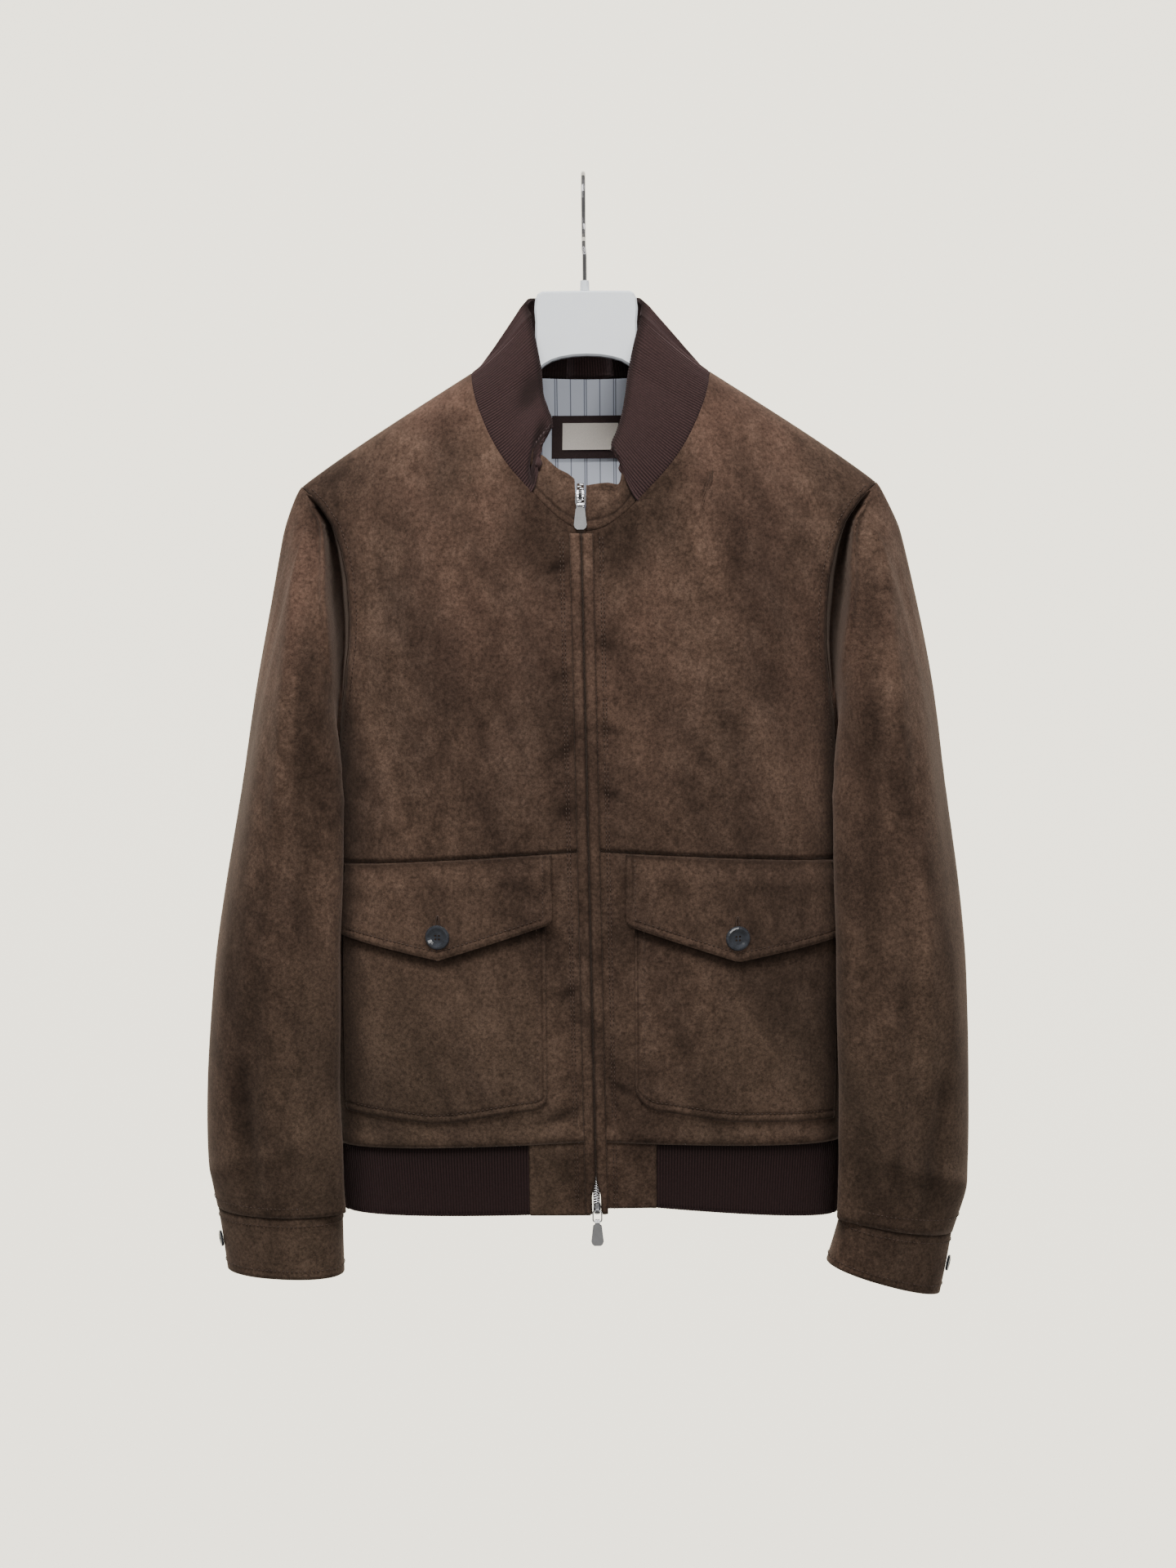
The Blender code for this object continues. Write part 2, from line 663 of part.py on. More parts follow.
def build_sleeves():
    levels = [share - 1 for share in CAP_SHARES] + [0, 0.12, 0.26, 0.42, 0.58, 0.72, 0.84, 0.93, 1.0]
    cuff_rows = (0.0, 0.5, 1.0)
    for side, label in ((RIGHT, "right"), (LEFT, "left")):
        wall("sleeve_" + label, lambda index, level, side=side: sleeve_point(side, index, level),
             ring_indices(), levels, SUEDE, suede(), side * 0.262, joined=True)

        def cuff(index, level, side=side):
            angle = SLEEVE_ANGLES[abs(index)]
            return ring_point(row_at(CUFF[side], level), side, angle if index >= 0 else 360 - angle)

        wall("cuff_" + label, cuff, ring_indices(), cuff_rows, SUEDE * 1.5, suede(),
             side * 0.262, joined=True)


# ---- hem ----
PANEL_END = {RIGHT: 0.0515, LEFT: 0.0545}
HEM_INSET = -0.0012
SIDE_SHARES = (0.0, 0.16, 0.32, 0.48, 0.63, 0.76, 0.87, 0.945, 0.985, 1.0)


def hem_low_z(side, reach, face):
    near, far = (-0.8590, -0.8635) if side == RIGHT else (-0.8530, -0.8700)
    if face == FRONT:
        return blend(near, far, clamp((reach - 0.05) / 0.155))
    return blend(-0.8668, far, clamp(reach / 0.205))


def hem_point(side, face, share, row):
    z = -0.83
    for _ in range(3):
        start = PANEL_END[side] + SEAM if face == FRONT else 0.0
        reach = blend(start, edge_x(z), share)
        z = blend(rib_seam_z(reach, face) - SEAM, hem_low_z(side, reach, face), row)
    start = PANEL_END[side] + SEAM if face == FRONT else 0.0
    x = blend(start, edge_x(z) + HEM_INSET, share)
    place = body(side * x, z, face, HEM_INSET if share < 0.98 else 0.0)
    if share >= 1:
        place.y = 0.0
    return place


def build_hem():
    stations = []
    for side in (RIGHT, LEFT):
        half = [(side, FRONT, share) for share in SIDE_SHARES]
        half += [(side, BACK, share) for share in reversed(SIDE_SHARES[1:-1])]
        stations += half if side == RIGHT else [(LEFT, BACK, 0.0)] + half[::-1]
    wall("hem_rib", lambda station, row: hem_point(*station, row), stations,
         (0.0, 0.35, 0.7, 1.0), RIB, rib_knit())
    for side, name in ((RIGHT, "hem_panel_right"), (LEFT, "hem_panel_left")):
        def surface(share, row, side=side):
            z = blend(rib_seam_z(0.03, FRONT) - SEAM, hem_low_z(side, 0.03, FRONT), row)
            inner = inner_x(side, z) + 0.5 * GUARD_OPEN * ease((GUARD_OPEN_Z - z) / 0.018)
            reach = blend(inner, PANEL_END[side] - SEAM, share)
            z = blend(rib_seam_z(reach, FRONT) - SEAM, hem_low_z(side, reach, FRONT), row)
            return body(side * reach, z, FRONT)

        wall(name, surface, (0.0, 0.3, 0.65, 1.0), (0.0, 0.4, 0.75, 1.0), SUEDE, suede())


# ---- pockets, flaps and their buttons ----
Pocket = namedtuple("Pocket", "inner low_inner low_middle low_outer corner flap_inner flap_end flap_point "
                              "flap_point_x flap_outer button_x button_z")
POCKETS = {
    RIGHT: Pocket(0.0355, -0.7660, -0.7790, -0.7735, 0.012, 0.0300, -0.6095, -0.6400, 0.1220, -0.6235,
                  0.1220, -0.6205),
    LEFT: Pocket(0.0370, -0.7665, -0.7800, -0.7840, 0.020, 0.0300, -0.6115, -0.6430, 0.1200, -0.6290,
                 0.1195, -0.6232),
}
POCKET_TOP_Z = -0.5860
POCKET_LOW_Z = -0.7800
POCKET_BULGE = 0.0040
POCKET_SIDE = 0.945           # the pocket's outer edge, as a share of the body's half-width
FLAP_SIDE = 0.947
LAYER_SLACK = 0.0006          # between the pocket and its flap


def patch_columns(near_edge):
    """Columns of what lies on a lower front: its inner edge, then the panel's own columns."""
    return [("edge", run) for run in near_edge] + [("panel", n) for n in range(3, 11)] + [("side", 0)]


def patch_reach(side, column, z, inner, outer_share):
    """Distance from the middle of a patch's column at a height."""
    kind, value = column
    outer = row_at(TORSO, z).half_width * outer_share
    if kind == "edge":
        return inner + value
    if kind == "side":
        return outer
    panel = blend(inner_x(side, z), row_at(TORSO, z).half_width, LOWER_SHARES[value])
    return min(panel, outer - 0.0005)


def pocket_out(side, reach, z):
    inner = POCKETS[side].inner
    across = clamp((reach - inner) / (0.201 - inner))
    down = clamp((POCKET_TOP_Z - z) / (POCKET_TOP_Z - POCKET_LOW_Z))
    swell = sin(pi * across) ** 0.7 * sin(pi * clamp(0.10 + 0.90 * down)) ** 0.8
    return LAYER + SUEDE + POCKET_BULGE * swell


def pocket_low_z(side, reach):
    sizes = POCKETS[side]
    run = reach - sizes.inner
    share = run / 0.165
    low = blend(sizes.low_inner, sizes.low_middle, ease(share / 0.6))
    if share > 0.6:
        low = blend(sizes.low_middle, sizes.low_outer, (share - 0.6) / 0.4)
    if run < sizes.corner:
        low += sizes.corner - sqrt(sizes.corner ** 2 - (sizes.corner - run) ** 2)
    return low


def flap_low_z(side, reach):
    sizes = POCKETS[side]
    if reach <= sizes.flap_point_x:
        share = (reach - sizes.flap_inner) / (sizes.flap_point_x - sizes.flap_inner)
        low = blend(sizes.flap_end, sizes.flap_point, share)
    else:
        share = (reach - sizes.flap_point_x) / (0.2025 - sizes.flap_point_x)
        low = blend(sizes.flap_point, sizes.flap_outer, share)
    return low + 0.003 * (1 - clamp((reach - sizes.flap_inner) / 0.003))


def flap_out(side, reach, z):
    settled = ease((waist_z(reach) - 0.004 - z) / 0.017)
    return LAYER + SUEDE + settled * (pocket_out(side, reach, z) + LAYER_SLACK)


def patch_point(side, column, row, kind):
    """A point of the pocket or its flap."""
    sizes = POCKETS[side]
    z = POCKET_TOP_Z
    reach = 0.1
    for _ in range(4):
        if kind == "pocket":
            reach = patch_reach(side, column, z, sizes.inner, POCKET_SIDE)
            z = blend(POCKET_TOP_Z, pocket_low_z(side, reach), row)
        else:
            reach = patch_reach(side, column, z, sizes.flap_inner, FLAP_SIDE)
            z = blend(waist_z(reach) - 0.0012, flap_low_z(side, reach), row)
    out = pocket_out(side, reach, z) if kind == "pocket" else flap_out(side, reach, z)
    return body(side * reach, z, FRONT, out)


def build_pockets():
    for side, label in ((RIGHT, "right"), (LEFT, "left")):
        wall("pocket_" + label, lambda column, row, side=side: patch_point(side, column, row, "pocket"),
             patch_columns((0.0, 0.003, 0.010)), [n / 7 for n in range(8)], SUEDE, suede())
        wall("flap_" + label, lambda column, row, side=side: patch_point(side, column, row, "flap"),
             patch_columns((0.0, 0.003, 0.015)), (0.0, 0.12, 0.27, 0.45, 0.7, 1.0), SUEDE, suede())


def flap_seat(side):
    """Where the button sits on the flap, with the flap's normal there."""
    sizes = POCKETS[side]
    out = flap_out(side, sizes.button_x, sizes.button_z)
    seat = body(side * sizes.button_x, sizes.button_z, FRONT, out)
    return seat, body_normal(side * sizes.button_x, sizes.button_z, FRONT)


BUTTON_RADIUS = 0.01025
CUFF_BUTTON_RADIUS = 0.0070


def button(name, radius, seat, normal, holes):
    """A turned button with a raised rim round a dished middle, its back on the seat."""
    thick = radius * 0.34
    profile = ((0.0, thick * 0.55), (0.50, thick * 0.60), (0.68, thick * 0.82), (0.80, thick),
               (0.92, thick * 0.94), (1.0, thick * 0.60), (0.96, thick * 0.2), (0.86, 0.0), (0.0, 0.0))
    shape = bmesh.new()
    points = [shape.verts.new((share * radius, 0, height)) for share, height in profile]
    for first, second in zip(points, points[1:]):
        shape.edges.new((first, second))
    bmesh.ops.spin(shape, geom=shape.verts[:] + shape.edges[:], cent=(0, 0, 0), axis=(0, 0, 1),
                   angle=2 * pi, steps=20, use_merge=True, use_duplicate=False)
    bmesh.ops.remove_doubles(shape, verts=shape.verts, dist=1e-6)
    bmesh.ops.recalc_face_normals(shape, faces=shape.faces)
    mesh = mesh_from(name, shape)
    smooth_mesh(mesh)
    made = add_object(name, mesh, material("horn", (0.055, 0.065, 0.085), 0.25))
    made.matrix_world = Matrix.Translation(seat) @ normal.to_track_quat("Z", "Y").to_matrix().to_4x4()
    if holes:
        shape = bmesh.new()
        for number in range(4):
            corner = radians(45 + 90 * number)
            place = Matrix.Translation((cos(corner) * radius * 0.2, sin(corner) * radius * 0.2, 0))
            bmesh.ops.create_cone(shape, cap_ends=True, segments=8, radius1=radius * 0.09,
                                  radius2=radius * 0.09, depth=thick * 4, matrix=place)
        cutter = bpy.data.objects.new(name + "_holes", mesh_from(name + "_holes", shape))
        cutters.objects.link(cutter)
        cutter.hide_render = True
        cutter.display_type = "WIRE"
        cutter.matrix_world = made.matrix_world
        cut = made.modifiers.new("holes", "BOOLEAN")
        cut.operation = "DIFFERENCE"
        cut.solver = "EXACT"
        cut.object = cutter
    return made


def build_buttons():
    for side, label in ((RIGHT, "right"), (LEFT, "left")):
        seat, normal = flap_seat(side)
        button("pocket_button_" + label, BUTTON_RADIUS, seat + normal * 0.0006, normal, True)
        ring = row_at(CUFF[side], 0.5)
        seat = ring_point(ring, side, 14)
        ahead = ring_point(ring, side, 15) - ring_point(ring, side, 13)
        along = ring_point(row_at(CUFF[side], 0.7), side, 14) - ring_point(row_at(CUFF[side], 0.3), side, 14)
        normal = ahead.cross(along).normalized()
        if normal.x * side < 0:
            normal.negate()
        button("cuff_button_" + label, CUFF_BUTTON_RADIUS, seat + normal * 0.0007, normal, False)


# ---- back neck lining, patch and label ----
def build_neck_lining():
    lining_out = -(SUEDE + 0.0005)
    half = [station / SHOULDER_X for station in BACK_STATIONS[:5]]

    def lining(share, row):
        side = LEFT if share >= 0 else RIGHT
        place = panel_point(side, BACK, abs(share), row, waist_z)
        x = place.x - sway(place.z)
        return body(x, place.z, BACK, lining_out)

    wall("neck_lining", lining, [-share for share in reversed(half[1:])] + half, (1, 2, 3, 4, 5), LINING,
         material("lining", (0.62, 0.64, 0.74), 0.6))
    for name, middle, half, top, low, out, finish in (
            ("neck_patch", 0.0000, 0.0325, -0.1915, -0.2275, lining_out - LINING - 0.0010,
             material("patch", (0.045, 0.024, 0.024), 0.7)),
            ("neck_label", 0.0005, 0.0240, -0.1975, -0.2200, lining_out - LINING - 0.0022,
             material("label", (0.72, 0.66, 0.56), 0.7))):
        def piece(share, row, middle=middle, half=half, top=top, low=low, out=out):
            return body(middle + half * share, blend(top, low, row), BACK, out)

        wall(name, piece, (-1.0, -0.5, 0.0, 0.5, 1.0), (0.0, 0.5, 1.0), 0.0008, finish)


# ---- hanger ----
PLATE_X = 0.0015
PLATE_HALF = 0.0058
PLATE_TOP_Z = -0.0935
ARM_END_X = 0.206
ARM_GAP = 0.0033              # from the shoulder line to the arm's top, through the cloth wall
ARM_DIP = 0.0075              # how much lower the arms pass under the collar
HOOK_WIRE = 0.0019
ROD_RADIUS = 0.0256           # inside radius of the hook


def hanger_outline():
    """The right half of the plate and arm, from the top middle round to the arch's middle."""
    points = [(0.0, PLATE_TOP_Z), (0.036, PLATE_TOP_Z - 0.0004), (0.0395, PLATE_TOP_Z - 0.0022),
              (0.0418, PLATE_TOP_Z - 0.0065), (0.0428, PLATE_TOP_Z - 0.0150), (0.0420, -0.1190)]
    for step in range(13):
        x = blend(0.0425, ARM_END_X, step / 12)
        points.append((x, shoulder_z(x) - ARM_GAP - ARM_DIP * (1 - ease((x - 0.088) / 0.030))))
    end_z = shoulder_z(ARM_END_X) - ARM_GAP
    points += [(ARM_END_X + 0.004, end_z - 0.005), (ARM_END_X + 0.003, end_z - 0.010),
               (ARM_END_X - 0.006, end_z - 0.0125)]
    for step in range(1, 9):
        share = step / 9
        x = blend(ARM_END_X - 0.006, 0.036, share)
        points.append((x, blend(end_z - 0.0125, -0.1575, share) - 0.006 * sin(pi * share)))
    for step in range(1, 5):
        share = step / 5
        points.append((0.036 * cos(share * pi / 2), -0.1575 + 0.0110 * sin(share * pi / 2)))
    points.append((0.0, -0.1465))
    return points


def build_hanger():
    half = hanger_outline()
    outline = half + [(-x, z) for x, z in reversed(half[1:-1])]
    shape = bmesh.new()
    corners = [shape.verts.new((x + blend(PLATE_X, sway(z), ease((abs(x) - 0.04) / 0.05)), -PLATE_HALF, z))
               for x, z in outline]
    front = shape.faces.new(corners)
    grown = bmesh.ops.extrude_face_region(shape, geom=[front])
    bmesh.ops.translate(shape, vec=(0, 2 * PLATE_HALF, 0),
                        verts=[item for item in grown["geom"] if isinstance(item, bmesh.types.BMVert)])
    bmesh.ops.recalc_face_normals(shape, faces=shape.faces)
    mesh = mesh_from("hanger_plate", shape)
    smooth_mesh(mesh)
    plate = add_object("hanger_plate", mesh, material("hanger_plastic", (0.84, 0.87, 0.90), 0.3))
    soft = plate.modifiers.new("rounded", "BEVEL")
    soft.width = 0.0016
    soft.segments = 1
    soft.limit_method = "ANGLE"
    soft.angle_limit = radians(60)

    shape = bmesh.new()
    bmesh.ops.create_cone(shape, cap_ends=True, segments=16, radius1=0.0040, radius2=0.0036,
                          depth=0.0082, matrix=Matrix.Translation((0.0006, 0, -0.0891)))
    mesh = mesh_from("hanger_boss", shape)
    smooth_mesh(mesh)
    add_object("hanger_boss", mesh, material("hanger_plastic", (0.84, 0.87, 0.90), 0.3))

    radius = ROD_RADIUS + HOOK_WIRE
    centre_z = -ROD_RADIUS
    route = [(0.0, -0.0847), (0.0, -0.0740), (0.0, -0.0640), (0.0025, -0.0580), (0.0085, -0.0527),
             (0.0150, -0.0487)]
    for step in range(22):
        turn = radians(blend(-44, 196, step / 21))
        route.append((radius * cos(turn), centre_z + radius * sin(turn)))
    wire("hanger_hook", [(0.0006 if z < -0.06 else 0.0, y, z) for y, z in route], HOOK_WIRE, chrome())


def wire(name, points, radius, finish, cyclic=False):
    curve = bpy.data.curves.new(name, "CURVE")
    curve.dimensions = "3D"
    curve.bevel_depth = radius
    curve.bevel_resolution = 2
    curve.use_fill_caps = True
    line = curve.splines.new("POLY")
    line.points.add(len(points) - 1)
    for point, place in zip(line.points, points):
        point.co = (*place, 1)
    line.use_cyclic_u = cyclic
    return add_object(name, curve, finish)


# ---- sliders, links and pull tabs ----
LINK_WIRE = 0.0007
LINK_HALF = 0.0036            # to the wire's middle
LINK_LENGTH = 0.0092
EYE_OUTER = 0.0021
EYE_INNER = 0.0011
TAB_TOP_HALF = 0.0037
TAB_LOW_HALF = 0.0052
TAB_LENGTH = 0.0205
TAB_THICK = 0.0018
BACKING = 0.0050              # from the link's upper wire back to the slider's underside
Pull = namedtuple("Pull", "pivot lean")
PULLS = {
    "top": Pull(Vector((-0.0045, -0.0680, -0.2625)), 12),
    "bottom": Pull(Vector((0.0049, -0.0664, -0.8530)), 0),
}
SLIDER_LEAN = {"top": 26, "bottom": -9}    # a slider lies along the chain, its pull hangs


def hung(pull, depth, out=0.0):
    """A point of a hanging pull: depth below its pivot, out to the front of it."""
    lean = radians(pull.lean)
    return pull.pivot + Vector((0, -depth * sin(lean) - out * cos(lean), -depth * cos(lean) + out * sin(lean)))


def side_profile(name, pull, depth, outline, half_width, finish):
    """A piece of constant width along X, from its outline seen from the side: (out, down) pairs,
    with a square eye of EYE_INNER round the wire at the given depth."""
    shape = bmesh.new()
    corners = [shape.verts.new(hung(pull, depth + down, out) - Vector((half_width, 0, 0)))
               for out, down in outline]
    face = shape.faces.new(corners)
    grown = bmesh.ops.extrude_face_region(shape, geom=[face])
    bmesh.ops.translate(shape, vec=(2 * half_width, 0, 0),
                        verts=[item for item in grown["geom"] if isinstance(item, bmesh.types.BMVert)])
    bmesh.ops.recalc_face_normals(shape, faces=shape.faces)
    mesh = mesh_from(name, shape)
    smooth_mesh(mesh)
    made = add_object(name, mesh, finish)
    shape = bmesh.new()
    bmesh.ops.create_cone(shape, cap_ends=True, segments=12, radius1=EYE_INNER, radius2=EYE_INNER,
                          depth=half_width * 4, matrix=Matrix.Rotation(pi / 2, 4, "Y"))
    cutter = bpy.data.objects.new(name + "_eye", mesh_from(name + "_eye", shape))
    cutters.objects.link(cutter)
    cutter.location = hung(pull, depth)
    cutter.hide_render = True
    cutter.display_type = "WIRE"
    cut = made.modifiers.new("eye", "BOOLEAN")
    cut.operation = "DIFFERENCE"
    cut.solver = "EXACT"
    cut.object = cutter
    return made


def build_slider(label):
    """The slider body lies on the chain; its bail stands out from it round the link's top wire."""
    pull = Pull(PULLS[label].pivot, SLIDER_LEAN[label])
    eye, backing = EYE_OUTER, BACKING
    outline = [(-backing, -0.0052), (-backing + 0.0022, -0.0052), (-0.0008, -eye), (0.0006, -eye)]
    outline += [(eye * cos(radians(turn)), -eye * sin(radians(turn))) for turn in (52, 26, 0, -26, -52)]
    outline += [(0.0006, eye), (-0.0008, eye), (-backing + 0.0022, 0.0042), (-backing, 0.0042)]
    slider = side_profile("slider_" + label, pull, 0.0, outline, 0.0013, chrome())
    wings = side_wings(label, pull)
    join = slider.modifiers.new("body", "BOOLEAN")
    join.operation = "UNION"
    join.solver = "EXACT"
    join.object = wings


def side_wings(label, pull):
    """The slider's broad body, joined to the narrow bail."""
    shape = bmesh.new()
    half_outline = [(0.0026, -0.0050), (0.0031, -0.0020), (0.0022, 0.0040)]
    outline = half_outline + [(-half, down) for half, down in reversed(half_outline)]
    verts = [shape.verts.new(hung(pull, down, -BACKING + 0.0001) + Vector((x, 0, 0))) for x, down in outline]
    face = shape.faces.new(verts)
    grown = bmesh.ops.extrude_face_region(shape, geom=[face])
    thick = hung(pull, 0, 0.0018) - hung(pull, 0, 0)
    bmesh.ops.translate(shape, vec=thick,
                        verts=[item for item in grown["geom"] if isinstance(item, bmesh.types.BMVert)])
    bmesh.ops.recalc_face_normals(shape, faces=shape.faces)
    wings = bpy.data.objects.new("slider_wings_" + label, mesh_from("slider_wings_" + label, shape))
    cutters.objects.link(wings)
    wings.hide_render = True
    wings.display_type = "WIRE"
    return wings


def build_pull(label):
    build_slider(label)
    pull = PULLS[label]
    corner = 0.0016
    loop = []
    for x_sign, low, turns in ((1, 0, (90, 45, 0)), (1, 1, (0, -45, -90)), (-1, 1, (270, 225, 180)),
                               (-1, 0, (180, 135, 90))):
        centre_x = x_sign * (LINK_HALF - corner)
        centre_down = corner if not low else LINK_LENGTH - corner
        for turn in turns:
            loop.append(hung(pull, centre_down - corner * sin(radians(turn)))
                        + Vector((centre_x + corner * cos(radians(turn)), 0, 0)))
    wire("link_" + label, loop, LINK_WIRE, chrome(), cyclic=True)

    eye, half = EYE_OUTER, TAB_THICK / 2
    outline = [(-half, TAB_LENGTH), (-half, eye * 0.95)]
    outline += [(eye * sin(radians(turn)), -eye * cos(radians(turn))) for turn in (-100, -60, -20, 20, 60, 100)]
    outline += [(half, eye * 0.95), (half, TAB_LENGTH)]
    tab = side_profile("tab_" + label, pull, LINK_LENGTH, outline, TAB_LOW_HALF, chrome())
    shape = bmesh.new()
    face_outline = [(0.0021, -0.0035), (0.0021, 0.0022), (TAB_TOP_HALF, 0.0034), (TAB_LOW_HALF, TAB_LENGTH - 0.004),
                    (TAB_LOW_HALF - 0.0008, TAB_LENGTH - 0.0016), (TAB_LOW_HALF - 0.0026, TAB_LENGTH - 0.0002)]
    face_outline += [(-x, down) for x, down in reversed(face_outline)]
    verts = [shape.verts.new(hung(pull, LINK_LENGTH + down, -0.004) + Vector((x, 0, 0)))
             for x, down in face_outline]
    face = shape.faces.new(verts)
    grown = bmesh.ops.extrude_face_region(shape, geom=[face])
    bmesh.ops.translate(shape, vec=hung(pull, 0, 0.008) - hung(pull, 0, 0),
                        verts=[item for item in grown["geom"] if isinstance(item, bmesh.types.BMVert)])
    bmesh.ops.recalc_face_normals(shape, faces=shape.faces)
    keep = bpy.data.objects.new("tab_face_" + label, mesh_from("tab_face_" + label, shape))
    cutters.objects.link(keep)
    keep.hide_render = True
    keep.display_type = "WIRE"
    cut = tab.modifiers.new("face", "BOOLEAN")
    cut.operation = "INTERSECT"
    cut.solver = "EXACT"
    cut.object = keep


# ---- the whole ----
for old in list(bpy.data.objects):
    bpy.data.objects.remove(old, do_unlink=True)
jacket = bpy.data.collections.new("stand_collar_jacket")
cutters = bpy.data.collections.new("cutters")
bpy.context.scene.collection.children.link(jacket)
bpy.context.scene.collection.children.link(cutters)

build_upper_fronts()
build_lower_fronts()
build_back()
build_guards()
build_collar()
build_chain()
build_sleeves()
build_hem()
build_pockets()
build_buttons()
build_neck_lining()
build_hanger()
build_pull("top")
build_pull("bottom")
bpy.context.view_layer.update()
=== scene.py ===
from collections import namedtuple
from math import cos, exp, pi, radians, sin, sqrt
import bmesh
import bpy
from mathutils import Matrix, Vector


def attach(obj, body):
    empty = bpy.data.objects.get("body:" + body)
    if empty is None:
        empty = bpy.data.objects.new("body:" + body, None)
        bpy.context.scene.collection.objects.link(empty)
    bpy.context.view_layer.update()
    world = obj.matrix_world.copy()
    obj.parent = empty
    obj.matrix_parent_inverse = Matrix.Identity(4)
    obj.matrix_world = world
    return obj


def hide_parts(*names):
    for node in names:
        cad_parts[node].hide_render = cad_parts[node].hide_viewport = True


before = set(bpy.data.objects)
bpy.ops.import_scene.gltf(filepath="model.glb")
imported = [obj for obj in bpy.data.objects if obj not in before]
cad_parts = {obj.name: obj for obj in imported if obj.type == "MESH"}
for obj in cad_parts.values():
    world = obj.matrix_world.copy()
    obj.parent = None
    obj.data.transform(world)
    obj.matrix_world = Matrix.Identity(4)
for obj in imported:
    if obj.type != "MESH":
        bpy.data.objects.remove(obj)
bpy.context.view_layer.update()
print("stage: frame loaded")

# driving sizes
frontFace = -1
backFace = 1
rightSide = -1                # the wearer's right lies at -X
leftSide = 1

suedeWall = 0.0016            # wall thicknesses
ribWall = 0.0024
liningWall = 0.0010
seamHalf = 0.00016            # half the gap between sewn pieces
edgeGap = 0.00045             # half the gap where front and back walls meet edge to edge
layerGap = 0.00035            # gap between a panel and what lies on it

shoulderTopZ = -0.1600        # shoulder seam at the neck
shoulderSlope = 0.625
shoulderDrop = 0.0045         # extra fall at the sleeve end
neckX = 0.099
shoulderX = 0.239
shoulderRoll = 0.22           # how far below the seam the cloth reaches its full depth
middleRound = 0.060
underarmZ = -0.4805
sidePower = 2.5               # squareness of the body's cross-section
waistLineZ = -0.5510
swayShare = 0.020             # the shoulders sit a little to the wearer's left
swayZ = -0.40
zipSlant = 0.0149
zipZeroZ = -0.555
zipHalf = 0.0034              # half the opening in which the chain lies

Torso = namedtuple("Torso", "z halfWidth front back")
torsoRows = (
    Torso(-0.8700, 0.2110, 0.0570, 0.0480),
    Torso(-0.8300, 0.2135, 0.0630, 0.0520),
    Torso(-0.7950, 0.2155, 0.0690, 0.0560),
    Torso(-0.7400, 0.2168, 0.0735, 0.0580),
    Torso(-0.6500, 0.2165, 0.0775, 0.0600),
    Torso(-0.5600, 0.2125, 0.0795, 0.0610),
    Torso(-0.4805, 0.2100, 0.0790, 0.0620),
    Torso(-0.4200, 0.2105, 0.0780, 0.0620),
    Torso(-0.3600, 0.2180, 0.0765, 0.0620),
    Torso(-0.3000, 0.2350, 0.0745, 0.0620),
    Torso(-0.2525, 0.2620, 0.0735, 0.0620),
    Torso(-0.1000, 0.2620, 0.0735, 0.0620),
)

Armhole = namedtuple("Armhole", "z x")
armholeRows = (
    Armhole(-0.4805, 0.2100),
    Armhole(-0.4500, 0.2070),
    Armhole(-0.4200, 0.2015),
    Armhole(-0.3850, 0.1965),
    Armhole(-0.3600, 0.1958),
    Armhole(-0.3300, 0.1980),
    Armhole(-0.3050, 0.2035),
    Armhole(-0.2850, 0.2110),
    Armhole(-0.2660, 0.2240),
    Armhole(-0.2525, 0.2390),
)

Neck = namedtuple("Neck", "x frontZ backZ")
neckRows = (
    Neck(0.0000, -0.2925, -0.1590),
    Neck(0.0120, -0.2895, -0.1590),
    Neck(0.0280, -0.2785, -0.1585),
    Neck(0.0440, -0.2625, -0.1580),
    Neck(0.0650, -0.2395, -0.1575),
    Neck(0.0800, -0.2165, -0.1575),
    Neck(0.0920, -0.1895, -0.1582),
    Neck(0.0970, -0.1720, -0.1592),
    Neck(0.0990, -0.1600, -0.1600),
)

